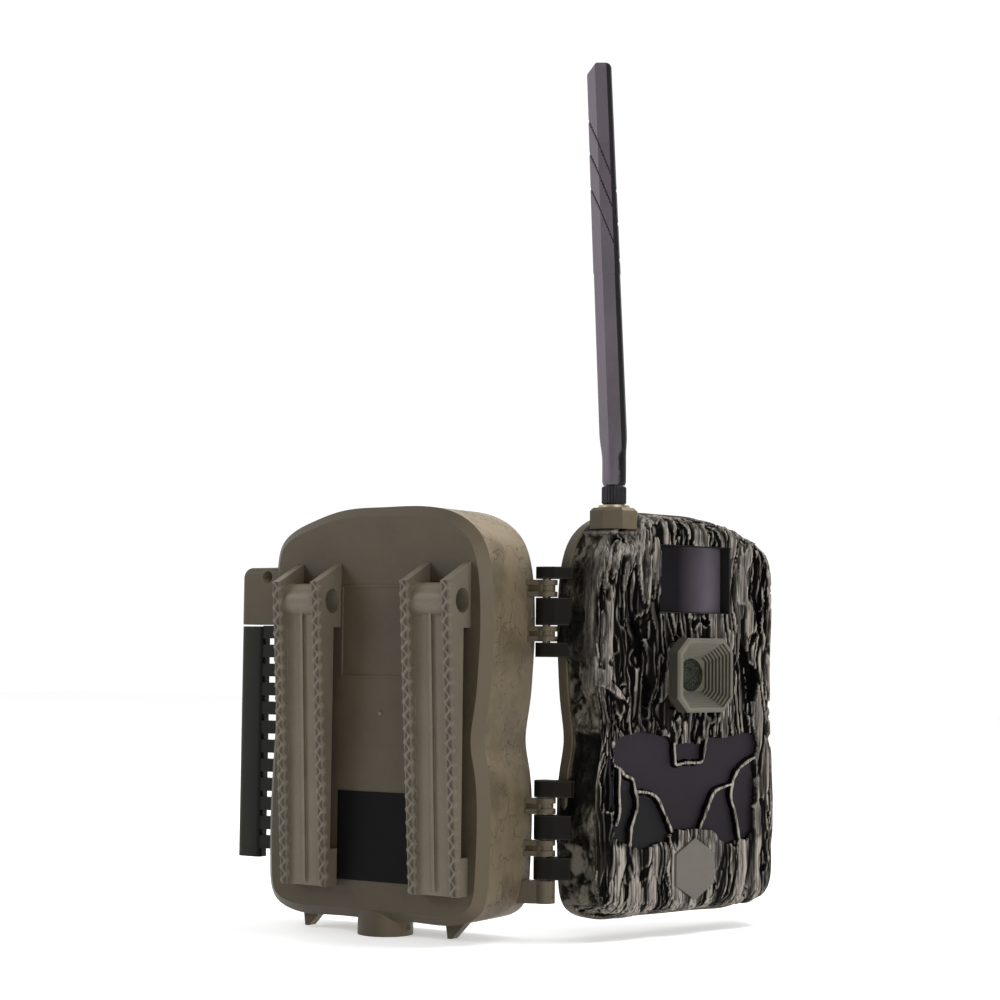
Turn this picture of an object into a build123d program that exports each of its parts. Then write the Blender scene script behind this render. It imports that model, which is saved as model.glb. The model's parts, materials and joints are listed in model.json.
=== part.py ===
from build123d import *

import os
from math import cos, pi, sin

# Trail camera: a clamshell of two halves on a side hinge. Every part is drawn with the halves
# closed and is then turned to the rest pose, where the clamshell stands open.
# Drawing frame: X to the right seen from behind, Y from the back face to the lens, Z up,
# with the housing's foot at Z 0 and its back face at Y 0. The exported frame has its origin
# at the mouth of the tripod thread.

# Housing, mm
HALF_WIDTH = 49.0
HEIGHT = 151.0
REAR_DEPTH = 32.0
FRONT_DEPTH = 22.5
WALL = 2.6
SEAM_GAP = 0.4
BACK_CHAMFER = 3.6

# Front half, mm in closed depth
FRAME_Y0 = REAR_DEPTH + SEAM_GAP
FRAME_Y1 = 37.0
FACE_Y = REAR_DEPTH + FRONT_DEPTH
SHELL_INSET = 0.3
SHELL_WALL = 3.0
SHELL_TAPER = 3.0
SHELL_SHIFT = 2.0
SHELL_ROUND = 5.0
PANEL_Y0 = 34.0
PANEL_Y1 = 36.0
RING_INSET = 5.6
BOARD_Y = 38.2
BOARD_THICK = 1.6

# Hinge between the halves
HINGE_X = HALF_WIDTH + 6.0
HINGE_Y = REAR_DEPTH
OPEN_ANGLE = 109.0
BARREL_R = 4.0
REAR_ARM = 7.0
FRONT_ARM = 9.0
PIN_R = 1.5
PIN_FIT = 0.05
REAR_KNUCKLES = [(101.9, 107.5), (118.3, 124.5), (24.0, 29.7), (39.2, 44.9)]
FRONT_KNUCKLES = [(96.2, 101.5), (107.9, 117.9), (124.9, 129.3), (15.6, 23.6), (30.1, 38.8), (45.3, 51.4)]
FOOT_BAR = (7.0, 15.2)
KNUCKLE_PLATE = 1.9

# Side latch
LATCH_X = -54.0
LATCH_Y = 21.2
LATCH_OPEN = 90.0
LATCH_Z0 = 17.4
LATCH_Z1 = 106.9
LATCH_BARREL_R = 3.2
CATCH_Z = (LATCH_Z0 + 2, LATCH_Z1 - 2)
LATCH_LUGS = [(17.4, 22.0), (58.5, 64.5), (102.3, 106.9)]
LATCH_BARRELS = [(22.4, 58.1), (64.9, 101.9)]
RIB_PITCH = 7.4
RIB_HEIGHT = 5.0
RIB_COUNT = 11

# Tripod boss and feet
BOSS_Y = 10.5
BOSS_R = 10.3
FOOT_DROP = 6.0
THREAD_R = 3.175
INSERT_R = 4.6
INSERT_DEPTH = 9.0
FIN_X = 32.0
FIN_DROP = 5.4
LOCK_HOLE = (-52.8, 125.6)
LOCK_HOLE_R = 2.3

# Raised blank plate and label on the back
PLATE_X = (-14.6, 20.0)
PLATE_Z = (88.0, 122.0)
PLATE_LINE = 0.8
LABEL_X = (-14.7, 20.0)
LABEL_Z = (14.0, 46.4)

# Strap brackets
RAIL_THICK = 3.0
RAIL_PAIRS = {"mount_bracket_left": (-33.9, -16.3), "mount_bracket_right": (23.3, 40.9)}
RAIL_TOP_Z = 130.0
RAIL_TIP_Z = 123.0
RAIL_FOOT_Z = 11.5
RAIL_TIP_DEPTH = 15.0
RAIL_FOOT_DEPTH = 6.8
TOOTH_PITCH = 4.8
TOOTH_HEIGHT = 1.3
TUBE_Y = -6.6
TUBE_Z = 116.1
TUBE_R = 6.4
CABLE_Y = -5.4
CABLE_R = 4.5
FLOOR_TOP_DEPTH = 10.0
FLOOR_FOOT_DEPTH = 5.4
STRAP_Z0 = 25.0
STRAP_Z1 = 106.4
STRAP_DEPTH = 4.6
SCREW_R = 1.4
SCREW_HEAD_R = 2.7

# Battery tray
CELL_R = 7.1
CELL_LENGTH = 50.0
CELL_PITCH = 14.8
CELL_COLUMNS = 4
CELL_Y = 14.2
CELL_ROWS_Z = (25.0, 78.6)
TRAY_HALF = 31.4
TRAY_Z0 = 20.0
TRAY_Z1 = 133.0
TRAY_Y0 = 5.2
TRAY_Y1 = 22.0
TRAY_WALL = 1.6

# Front face features
PIR_X = 0.0
PIR_Z = 125.8
PIR_HALF = (18.4, 12.7)
HOOD_Z = 90.0
HOOD_HALF = (14.5, 13.8)
HOOD_OUT = 5.6
HOOD_CORNER = 5.2
HOOD_STEPS = 8
LENS_R = 6.2
BADGE_X = 1.0
BADGE_Z = 18.2
BADGE_R = 11.3
IR_POINTS = [
    (40.6, 63.9), (38.6, 66.8), (32.8, 68.4), (28.3, 69.6), (21.0, 68.6), (14.3, 67.3), (11.0, 64.4),
    (4.5, 64.9), (-1.6, 64.2), (-6.4, 66.2), (-16.2, 66.5), (-26.9, 68.0), (-32.4, 67.0), (-33.4, 63.5),
    (-31.6, 57.1), (-32.6, 48.0), (-31.4, 39.7), (-32.0, 31.5), (-27.4, 27.4), (-23.0, 28.2), (-18.0, 25.9),
    (-13.0, 27.9), (-9.0, 31.9), (-1.0, 32.6), (11.4, 32.6), (14.1, 28.7), (19.0, 28.2), (25.6, 26.2),
    (33.3, 28.4), (39.8, 31.0), (40.8, 36.9), (40.0, 47.8), (40.6, 56.6),
]

# Control panel
BUTTON_Z = 60.0
BUTTON_STEP = 11.0
BUTTON_R = 3.6
BUTTON_GAP = 0.4
BUTTON_OUT = 1.2
SCREEN = (0.0, 103.0)
SCREEN_HALF = (23.0, 17.0)
SWITCH_X = 27.0
CARD_Z0 = 14.5
CARD = (24.0, 2.1, 32.0)
CARD_Y = 31.05
SOCKET_TOP = 40.0

# Antenna
ANTENNA = (33.4, 44.6)
ANTENNA_LEAN = 2.6
BLADE_TURN = -39.2
BLADE_HALF = (5.3, 3.7)
LEAN_AXIS = (0.632, 0.775, 0)
MOUNT_HALF = 8.7
MOUNT_Z0 = 143.5
MOUNT_TOP = 151.4
JACK_R = 3.1
WASHER_R = 5.8
NUT_R = 4.6
NUT_Z = (152.8, 159.6)
COLLAR_TOP = 174.0
COLLAR_R = 4.6
BLADE_TOP = 320.0


def block(x, y, z):
    """Box from its (low, high) pairs."""
    size = [high - low for low, high in (x, y, z)]
    middle = [(high + low) / 2 for low, high in (x, y, z)]
    return Pos(*middle) * Box(*size)


def rod(start, axis, radius, length):
    """Cylinder from a start point along an axis."""
    plane = Plane(origin=start, z_dir=axis)
    return extrude(plane * Circle(radius), amount=length)


def slab(sketch, low, high):
    """Sketch in X and Z, extruded in depth from Y low to Y high."""
    plane = Plane(origin=(0, high, 0), x_dir=(1, 0, 0), z_dir=(0, -1, 0))
    return extrude(plane * sketch, amount=high - low)


def column(sketch, low, high):
    """Sketch in X and Y, extruded in height from Z low to Z high."""
    return extrude(Plane.XY.offset(low) * sketch, amount=high - low)


def side_slab(points, low, high):
    """Polygon in Y and Z, extruded across from X low to X high."""
    plane = Plane(origin=(low, 0, 0), x_dir=(0, 1, 0), z_dir=(1, 0, 0))
    return extrude(plane * make_face(Polyline(*points, close=True)), amount=high - low)


def polygon(points):
    return make_face(Polyline(*points, close=True))


def outline(inset=0.0):
    """Arched housing outline with a slight waist, scaled inwards by the inset."""
    right = [
        (24, 150.4), (36, 146.8), (44.4, 139.8), (48.6, 129), (50.0, 115), (50.0, 101), (49.4, 91),
        (48.7, 82), (47.3, 73), (46.6, 65), (48.0, 57), (49.2, 49), (49.6, 39), (49.0, 18), (45.6, 5),
        (37.6, 0.8), (20, 0),
    ]
    left = [
        (-20, 0), (-38, 0.8), (-46, 5), (-48.8, 17), (-48.9, 38), (-48.1, 56), (-47.0, 76), (-47.2, 96),
        (-47.7, 115), (-47.6, 129), (-45.2, 138.2), (-39.4, 143.0), (-31, 146.4), (-21, 149.4), (-11, 150.8),
    ]
    middle = HEIGHT / 2
    wide = 1 - inset / HALF_WIDTH
    tall = 1 - inset / middle
    points = [(x * wide, middle + (z - middle) * tall) for x, z in [(2, HEIGHT)] + right + [(0, 0)] + left]
    return make_face(Spline(*points, periodic=True))


def barrel_disc(radius):
    return Pos(HINGE_X, HINGE_Y) * Circle(radius)


def rear_arm(low, high):
    """Plate from the rear half's side wall to the barrel."""
    near = HINGE_Y - 0.6
    points = [(45.6, HINGE_Y - REAR_ARM), (45.6, near), (HINGE_X, near), (HINGE_X + 3.2, HINGE_Y - 2.4)]
    return column(polygon(points) + barrel_disc(BARREL_R), low, high)


def front_arm(low, high):
    """Block from the front half's side wall to the barrel, sloping on to the shell."""
    near = HINGE_Y + 0.6
    points = [
        (45.6, HINGE_Y + FRONT_ARM), (45.6, near), (HINGE_X, near), (HINGE_X + 3.2, HINGE_Y + 2.4),
        (HINGE_X + 0.6, HINGE_Y + 5.4), (HALF_WIDTH + 1.4, HINGE_Y + FRONT_ARM),
    ]
    return column(polygon(points) + barrel_disc(BARREL_R), low, high)


def hinge_bore(radius):
    return rod((HINGE_X, HINGE_Y, -1), (0, 0, 1), radius, HEIGHT)


def rear_knuckle(low, high):
    """Two thin plates with a web and a smaller barrel between them."""
    plates = rear_arm(low, low + KNUCKLE_PLATE) + rear_arm(high - KNUCKLE_PLATE, high)
    web = block((45.6, HINGE_X), (HINGE_Y - 4.0, HINGE_Y - 1.6), (low, high))
    return plates + web + rod((HINGE_X, HINGE_Y, low), (0, 0, 1), BARREL_R - 0.8, high - low)


def make_rear_housing():
    """Tub with a bevelled back, a stepped inside, the tripod boss and two small fins."""
    tub = slab(outline(), 0, REAR_DEPTH)
    tub = chamfer(tub.edges().filter_by_position(Axis.Y, -0.01, 0.01), BACK_CHAMFER)
    tub -= slab(outline(WALL + 1.6), WALL, REAR_DEPTH - 5)
    tub -= slab(outline(WALL), WALL + 2.4, REAR_DEPTH - 5)
    tub -= slab(outline(RING_INSET), REAR_DEPTH - 6, REAR_DEPTH + 1)
    tub -= slab(outline(2.6) - outline(4.9), REAR_DEPTH - 2, REAR_DEPTH + 1)
    tub += rod((0, BOSS_Y, -FOOT_DROP), (0, 0, 1), BOSS_R, FOOT_DROP + 5)
    for x in (-FIN_X, FIN_X):
        fin = polygon([(x - 4.5, 2), (x + 5.5, 2), (x - 1.6, -FIN_DROP), (x - 3.4, -FIN_DROP)])
        tub += slab(fin, BOSS_Y - 2, BOSS_Y + 2)
    tub -= rod((0, BOSS_Y, -FOOT_DROP - 1), (0, 0, 1), INSERT_R, INSERT_DEPTH + 1)
    tub += block(PLATE_X, (-0.4, 0.2), PLATE_Z) - block(inner_pair(PLATE_X), (-1, 0.1), inner_pair(PLATE_Z))
    for x, z in screw_places():
        tub -= rod((x, -1, z), (0, 1, 0), SCREW_R, WALL + 2)
    return tub


def inner_pair(pair):
    """(low, high) pair drawn in by the raised line's width."""
    return (pair[0] + PLATE_LINE, pair[1] - PLATE_LINE)


def off_the_tub(shape):
    """What stands outside the rear housing's side walls."""
    return shape - slab(outline(), -1, REAR_DEPTH + 1)


def make_rear_hinge_lugs():
    lugs = rear_arm(*FOOT_BAR)
    for low, high in REAR_KNUCKLES:
        lugs += rear_knuckle(low, high)
    return off_the_tub(lugs) - hinge_bore(PIN_R)


def make_latch_lugs():
    barrel = Pos(LATCH_X, LATCH_Y) * Circle(LATCH_BARREL_R)
    web = [(-46, LATCH_Y + 6), (-46, LATCH_Y - 6), (LATCH_X, LATCH_Y - LATCH_BARREL_R)]
    lug = polygon(web + [(LATCH_X, LATCH_Y + LATCH_BARREL_R)]) + barrel
    lugs = Part() + [column(lug, low, high) for low, high in LATCH_LUGS]
    return off_the_tub(lugs) - rod((LATCH_X, LATCH_Y, 0), (0, 0, 1), PIN_R, HEIGHT)


def make_lock_tab():
    tab = block((-65.5, -46), (4, 14), (LATCH_Z1 + 0.5, 129.3))
    tab = fillet(tab.edges().filter_by(Axis.Y).group_by(Axis.X)[0].group_by(Axis.Z)[-1], 4)
    tab = fillet(tab.edges().filter_by(Axis.Z).group_by(Axis.X)[0], 2.4)
    return off_the_tub(tab) - rod((LOCK_HOLE[0], 0, LOCK_HOLE[1]), (0, 1, 0), LOCK_HOLE_R, 20)


def make_bay_rails():
    """Two ribs that guide the battery tray."""
    return Compound([block((x, x + 1.8), (WALL, 15), (30, 100)) for x in (-TRAY_HALF - 2.4, TRAY_HALF + 0.6)])


def screw_places():
    return [(sum(pair) / 2, z) for pair in RAIL_PAIRS.values() for z in (18.0, 108.8)]


def make_bracket_screws():
    screws = []
    for x, z in screw_places():
        shank = rod((x, -3.6, z), (0, 1, 0), SCREW_R, WALL + 3.6)
        screws.append(shank + rod((x, WALL, z), (0, 1, 0), SCREW_HEAD_R, 1.6))
    return Compound(screws)


def rail_depth(z):
    slope = (RAIL_TIP_DEPTH - RAIL_FOOT_DEPTH) / (RAIL_TIP_Z - RAIL_FOOT_Z)
    return RAIL_FOOT_DEPTH + slope * (z - RAIL_FOOT_Z)


def rail_profile():
    """Side plate in Y and Z, with a saw-tooth gripping edge."""
    points = [(0, RAIL_FOOT_Z), (0, RAIL_TOP_Z), (-RAIL_TIP_DEPTH, RAIL_TIP_Z)]
    count = int((RAIL_TIP_Z - RAIL_FOOT_Z) / TOOTH_PITCH)
    for tooth in range(count):
        valley = RAIL_TIP_Z - (tooth + 0.5) * TOOTH_PITCH
        tip = RAIL_TIP_Z - (tooth + 1) * TOOTH_PITCH
        points.append((-rail_depth(valley) + TOOTH_HEIGHT, valley))
        points.append((-rail_depth(tip), tip))
    points.append((-RAIL_FOOT_DEPTH, RAIL_FOOT_Z))
    return points


def make_bracket(left, right):
    x0 = left - RAIL_THICK / 2
    x1 = right + RAIL_THICK / 2
    body = side_slab(rail_profile(), x0, x0 + RAIL_THICK)
    body += side_slab(rail_profile(), x1 - RAIL_THICK, x1)
    inner = (x0 + 1, x1 - 1)
    body += side_slab([(0, 111), (-FLOOR_TOP_DEPTH, 111), (-FLOOR_FOOT_DEPTH, RAIL_FOOT_Z), (0, RAIL_FOOT_Z)], *inner)
    body += rod((x0, TUBE_Y, TUBE_Z), (1, 0, 0), TUBE_R, x1 - x0)
    middle = (left + right) / 2
    rib = [(0, 112), (-FLOOR_TOP_DEPTH - 1.2, 112), (-FLOOR_FOOT_DEPTH - 1.2, 14), (-FLOOR_FOOT_DEPTH, 12), (0, 12)]
    body += side_slab(rib, middle - 0.6, middle + 0.6)
    body -= block((x0 - 1, x1 + 1), (-STRAP_DEPTH, 1), (STRAP_Z0, STRAP_Z1))
    body -= rod((x0 - 1, CABLE_Y, TUBE_Z), (1, 0, 0), CABLE_R, x1 - x0 + 2)
    for z in (18.0, 108.8):
        body -= rod((middle, -3.6, z), (0, 1, 0), SCREW_R, 5)
    return body


def make_latch_lever():
    """Drawn hooked over the catch, then swung out to its rest place."""
    axis_point = (LATCH_X, LATCH_Y)
    lever = block((-57.4, -53.0), (32.5, 43.4), (LATCH_Z0, LATCH_Z1))
    lever = fillet(lever.edges().filter_by(Axis.Z).group_by(Axis.X)[0], 1.8)
    lever += block((-53.2, -50.2), (41.0, 43.4), (LATCH_Z0 + 3, LATCH_Z1 - 3))
    for low, high in LATCH_BARRELS:
        barrel = column(Pos(*axis_point) * Circle(LATCH_BARREL_R), low, high)
        web = block((-56.6, -54.8), (LATCH_Y, LATCH_Y + 5), (low, high))
        lever += barrel + web
    ribs = [LATCH_Z0 + 3.4 + RIB_PITCH * i for i in range(RIB_COUNT + 1)]
    for z in ribs:
        lever += block((-56.8, -53.6), (LATCH_Y + 4, 33), (z, z + RIB_HEIGHT))
    lever -= rod((LATCH_X, LATCH_Y, 0), (0, 0, 1), PIN_R + PIN_FIT, HEIGHT)
    for low, high in LATCH_LUGS:
        room = Pos(*axis_point) * Circle(LATCH_BARREL_R + 0.5)
        lever -= column(room, low - 0.4, high + 0.4)
    return lever.rotate(Axis((LATCH_X, LATCH_Y, 0), (0, 0, 1)), LATCH_OPEN)


def pin(x, y, low, high):
    """Headless steel pin."""
    return rod((x, y, low), (0, 0, 1), PIN_R, high - low)


def make_tripod_insert():
    insert = rod((0, BOSS_Y, -FOOT_DROP), (0, 0, 1), INSERT_R, INSERT_DEPTH)
    return insert - rod((0, BOSS_Y, -FOOT_DROP - 1), (0, 0, 1), THREAD_R, INSERT_DEPTH)


def make_gasket():
    return slab(outline(2.7) - outline(4.8), REAR_DEPTH - 1.9, REAR_DEPTH - 0.05)


def cell_places():
    first = -CELL_PITCH * (CELL_COLUMNS - 1) / 2
    return [(first + CELL_PITCH * i, z, i) for z in CELL_ROWS_Z for i in range(CELL_COLUMNS)]


def make_battery_tray():
    tray = block((-TRAY_HALF, TRAY_HALF), (TRAY_Y0, TRAY_Y1), (TRAY_Z0, TRAY_Z1))
    inside = (-TRAY_HALF + TRAY_WALL, TRAY_HALF - TRAY_WALL)
    for low in CELL_ROWS_Z:
        tray -= block(inside, (TRAY_Y0 + TRAY_WALL, TRAY_Y1 + 1), (low - 2.4, low + CELL_LENGTH + 1))
    for x in (-TRAY_HALF, TRAY_HALF):
        tray -= block((x - 3, x + 3), (TRAY_Y1 - 6, TRAY_Y1 + 1), (66, 88))
    return tray


def make_battery_cells():
    cells = []
    for x, z, i in cell_places():
        cell = rod((x, CELL_Y, z), (0, 0, 1), CELL_R, CELL_LENGTH - 1.2)
        up = i % 2 == 0
        nub_z = z + CELL_LENGTH - 1.2 if up else z - 0.8
        cell += rod((x, CELL_Y, nub_z), (0, 0, 1), 2.6, 0.8)
        cells.append(cell)
    return Compound(cells)


def make_cell_springs():
    springs = []
    for x, z, i in cell_places():
        start = z - 2.0 if i % 2 == 0 else z + CELL_LENGTH - 1.2
        springs.append(rod((x, CELL_Y, start), (0, 0, 1), 3.2, 1.8))
    return Compound(springs)


def make_cell_contacts():
    plates = []
    for low in CELL_ROWS_Z:
        for z in (low - 2.4, low + CELL_LENGTH + 0.6):
            for x in (-CELL_PITCH, CELL_PITCH):
                plates.append(block((x - 13, x + 13), (CELL_Y - 5, CELL_Y + 5), (z, z + 0.4)))
    return Compound(plates)


def make_bay_contacts():
    pads = [block((x - 3, x + 3), (WALL, WALL + 1.8), (26, 34)) for x in (-20, 20)]
    return Compound(pads)


def make_front_frame():
    """Rim of the front half, with the ledge that the latch lever hooks over."""
    frame = slab(outline() - outline(RING_INSET), FRAME_Y0, FRAME_Y1)
    frame += block((-52.0, -49.2), (33.6, 39.6), CATCH_Z)
    frame += block((-52.0, -46.0), (33.6, FRAME_Y1 - 0.1), CATCH_Z)
    return frame - column(antenna_octagon(), MOUNT_Z0, MOUNT_TOP)


def make_front_hinge_lugs():
    lugs = Part() + [front_arm(low, high) for low, high in FRONT_KNUCKLES]
    lugs -= slab(outline(), FRAME_Y0 - 1, FRAME_Y1)
    return lugs - shell_body(SHELL_INSET, FRAME_Y1, FACE_Y) - hinge_bore(PIN_R + PIN_FIT)


def pir_opening():
    return Pos(PIR_X, PIR_Z) * RectangleRounded(2 * PIR_HALF[0], 2 * PIR_HALF[1], 1.5)


def ir_opening():
    return polygon(IR_POINTS)


def hood_outline(half_x, half_z, corner):
    return Pos(0, HOOD_Z) * chamfer(Rectangle(2 * half_x, 2 * half_z).vertices(), corner)


def shell_section(inset, depth):
    """Shell outline at one depth: drawn in and shifted to the hinge side towards the face."""
    part = (depth - FRAME_Y1) / (FACE_Y - FRAME_Y1)
    plane = Plane(origin=(0, depth, 0), x_dir=(1, 0, 0), z_dir=(0, -1, 0))
    return plane * Pos(SHELL_SHIFT * part, 0) * outline(inset + SHELL_TAPER * part)


def shell_body(inset, low, high):
    return loft([shell_section(inset, low), shell_section(inset, high)], ruled=True)


def make_front_shell():
    shell = shell_body(SHELL_INSET, FRAME_Y1, FACE_Y)
    shell = fillet(shell.edges().filter_by_position(Axis.Y, FACE_Y - 0.01, FACE_Y + 0.01), SHELL_ROUND)
    shell -= shell_body(SHELL_INSET + SHELL_WALL, FRAME_Y1 - 1, FACE_Y - SHELL_WALL)
    shell -= slab(pir_opening(), FACE_Y - 6, FACE_Y + 1)
    shell -= slab(ir_opening(), FACE_Y - 6, FACE_Y + 1)
    shell -= slab(hood_outline(HOOD_HALF[0] - 1.5, HOOD_HALF[1] - 1.5, 3), FACE_Y - 6, FACE_Y + 1)
    for x, z in panel_screw_places():
        post = rod((x, PANEL_Y1 + 2.2, z), (0, 1, 0), 3.2, FACE_Y - 2 - PANEL_Y1 - 2.2)
        shell += post - rod((x, PANEL_Y1, z), (0, 1, 0), SCREW_R, 9)
    shell -= rod((*ANTENNA, MOUNT_Z0 - 8), (0, 0, 1), JACK_R, 12)
    return shell - column(antenna_octagon(), MOUNT_Z0, MOUNT_TOP + 2)


def antenna_octagon():
    return Pos(*ANTENNA) * RegularPolygon(MOUNT_HALF, 8, major_radius=False, rotation=22.5)


def make_antenna_mount():
    mount = column(antenna_octagon(), MOUNT_Z0, MOUNT_TOP)
    mount = chamfer(mount.edges().group_by(Axis.Z)[-1], 1.2)
    x, y = ANTENNA
    return mount - rod((x, y, MOUNT_Z0 - 1), (0, 0, 1), JACK_R, 20)


def make_sma_jack():
    x, y = ANTENNA
    jack = rod((x, y, 136.5), (0, 0, 1), JACK_R, 22)
    return jack - rod((x, y, 150), (0, 0, 1), 1.9, 10)


def make_jack_washer():
    x, y = ANTENNA
    return rod((x, y, MOUNT_TOP), (0, 0, 1), WASHER_R, 1.0) - rod((x, y, MOUNT_TOP - 1), (0, 0, 1), JACK_R, 3)


def make_antenna_nut():
    x, y = ANTENNA
    low, high = NUT_Z
    nut = rod((x, y, low), (0, 0, 1), NUT_R, high - low)
    nut = chamfer(nut.edges().group_by(Axis.Z)[0] + nut.edges().group_by(Axis.Z)[-1], 0.6)
    ridge_count = 24
    for i in range(ridge_count):
        turn = 2 * pi * i / ridge_count
        nut -= rod((x + NUT_R * cos(turn), y + NUT_R * sin(turn), low - 1), (0, 0, 1), 0.4, high - low + 2)
    return nut - rod((x, y, low - 1), (0, 0, 1), JACK_R + PIN_FIT, high - low + 2)


def blade_section(half_wide, half_deep):
    """Flattened hexagon, turned about the aerial's axis."""
    wide, deep = half_wide, half_deep
    half = wide / 2
    points = [(wide, 0), (half, deep), (-half, deep), (-wide, 0), (-half, -deep), (half, -deep)]
    return Pos(*ANTENNA) * Rot(0, 0, BLADE_TURN) * polygon(points)


def make_antenna_blade():
    x, y = ANTENNA
    low = NUT_Z[1] + 0.4
    collar = rod((x, y, low), (0, 0, 1), COLLAR_R, COLLAR_TOP - low)
    wide, deep = BLADE_HALF
    lower = Plane.XY.offset(COLLAR_TOP - 5) * blade_section(COLLAR_R - 0.1, deep)
    shoulder = Plane.XY.offset(COLLAR_TOP + 6) * blade_section(wide, deep)
    top = Plane.XY.offset(BLADE_TOP - 4) * blade_section(0.9 * wide, 0.9 * deep)
    tip = Plane.XY.offset(BLADE_TOP) * blade_section(0.6 * wide, 0.6 * deep)
    blade = loft([lower, shoulder], ruled=True) + loft([shoulder, top], ruled=True) + loft([top, tip], ruled=True)
    blade = blade.rotate(Axis((x, y, COLLAR_TOP - 5), LEAN_AXIS), ANTENNA_LEAN)
    return collar + blade + rod((x, y, 151.5), (0, 0, 1), 1.4, low - 151.5)


def panel_screw_places():
    return [(side * 37.0, z) for side in (-1, 1) for z in (16.0, 74.0, 126.0)]


def make_inner_panel():
    panel = slab(outline(RING_INSET + 0.1), PANEL_Y0, PANEL_Y1)
    panel -= slab(Pos(*SCREEN) * Rectangle(2 * SCREEN_HALF[0], 2 * SCREEN_HALF[1]), 33, 37)
    for x, z in button_places().values():
        panel -= rod((x, 33, z), (0, 1, 0), BUTTON_R + BUTTON_GAP, 5)
    panel -= block((SWITCH_X - 2.6, SWITCH_X + 2.6), (33, 37), (51.5, 68.5))
    for x, z in panel_screw_places():
        panel -= rod((x, 33, z), (0, 1, 0), SCREW_R + 0.1, 5)
    panel -= rod((-27, 33, 68), (0, 1, 0), 1.5, 5)
    panel -= rod((-27, 33, 52), (0, 1, 0), 1.0, 5)
    return panel


def make_panel_screws():
    screws = []
    for x, z in panel_screw_places():
        shank = rod((x, PANEL_Y0 - 0.2, z), (0, 1, 0), SCREW_R, 10)
        screws.append(shank + rod((x, PANEL_Y0 - 1.4, z), (0, 1, 0), SCREW_HEAD_R, 1.4))
    return Compound(screws)


def button_places():
    return {
        "button_up": (0, BUTTON_Z + BUTTON_STEP),
        "button_down": (0, BUTTON_Z - BUTTON_STEP),
        "button_left": (BUTTON_STEP, BUTTON_Z),
        "button_right": (-BUTTON_STEP, BUTTON_Z),
        "button_ok": (0, BUTTON_Z),
    }


def make_button(x, z):
    cap = rod((x, PANEL_Y0 - BUTTON_OUT, z), (0, 1, 0), BUTTON_R, 3.6)
    return chamfer(cap.edges().group_by(Axis.Y)[0], 0.5)


def make_button_switches():
    return Compound([rod((x, 37.5, z), (0, 1, 0), 2.4, BOARD_Y - 37.5) for x, z in button_places().values()])


def make_power_switch():
    knob = block((SWITCH_X - 2.2, SWITCH_X + 2.2), (PANEL_Y0 - BUTTON_OUT, 36.4), (52.2, 59.2))
    return fillet(knob.edges().filter_by(Axis.X).group_by(Axis.Y)[0], 0.8)


def make_switch_body():
    return block((SWITCH_X - 4, SWITCH_X + 4), (36.9, BOARD_Y), (50, 70))


def make_card_socket():
    socket = block((-14.6, 14.6), (28.6, PANEL_Y0), (12, SOCKET_TOP))
    half = CARD[0] / 2 + 0.4
    thick = CARD[1] / 2 + 0.4
    socket -= block((-half, half), (CARD_Y - thick, CARD_Y + thick), (CARD_Z0 - 0.4, SOCKET_TOP + 1))
    return socket


def make_memory_card():
    card = polygon([(-12, 0), (12, 0), (12, 32), (-8, 32), (-12, 28)])
    return slab(Pos(0, CARD_Z0) * card, CARD_Y - CARD[1] / 2, CARD_Y + CARD[1] / 2)


def make_main_board():
    board = block((-36, 36), (BOARD_Y, BOARD_Y + BOARD_THICK), (22, 134))
    for x, z in panel_screw_places():
        board -= rod((x, 37, z), (0, 1, 0), 3.6, 5)
    return board


def make_board_chips():
    top = BOARD_Y + BOARD_THICK
    chips = [((-30, -16), (30, 44)), ((-8, 6), (34, 46)), ((14, 30), (28, 40)), ((18, 32), (78, 92))]
    return Compound([block(x, (top, top + 1.6), z) for x, z in chips])


def make_cell_modem():
    top = BOARD_Y + BOARD_THICK
    return block((-32, -18), (top, top + 2.4), (74, 106))


def make_lens_hood():
    """Square funnel with stepped inner walls, standing proud of the face."""
    rim = FACE_Y + HOOD_OUT
    hood = slab(hood_outline(*HOOD_HALF, HOOD_CORNER), FACE_Y, rim)
    hood = chamfer(hood.edges().group_by(Axis.Y)[-1], 0.8)
    hood += slab(hood_outline(HOOD_HALF[0] - 1.6, HOOD_HALF[1] - 1.6, 3), FACE_Y - 4.5, FACE_Y)
    depth = (rim - (FACE_Y - 3.0)) / HOOD_STEPS
    for i in range(HOOD_STEPS):
        half = 12.4 - 0.75 * i
        low = rim - depth * (i + 1)
        hood -= slab(hood_outline(half, half - 0.5, HOOD_CORNER - 1.4 - 0.3 * i), low, rim + 0.5)
    return hood - rod((0, FACE_Y - 5, HOOD_Z), (0, 1, 0), LENS_R, 6)


def make_lens_parts():
    window = rod((0, FACE_Y - 4.4, HOOD_Z), (0, 1, 0), LENS_R, 1.2)
    barrel = rod((0, 41.6, HOOD_Z), (0, 1, 0), 5.4, 8.0) - rod((0, 45, HOOD_Z), (0, 1, 0), 4.0, 6)
    barrel += block((-7, 7), (41.4, 44), (HOOD_Z - 7, HOOD_Z + 7))
    element = Pos(0, 45.9, HOOD_Z) * Sphere(3.9)
    element -= block((-5, 5), (40, 45.1), (HOOD_Z - 5, HOOD_Z + 5))
    sensor = block((-6, 6), (BOARD_Y + BOARD_THICK, 41.4), (HOOD_Z - 6, HOOD_Z + 6))
    return {"lens_window": window, "lens_barrel": barrel, "lens_element": element, "image_sensor": sensor}


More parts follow.
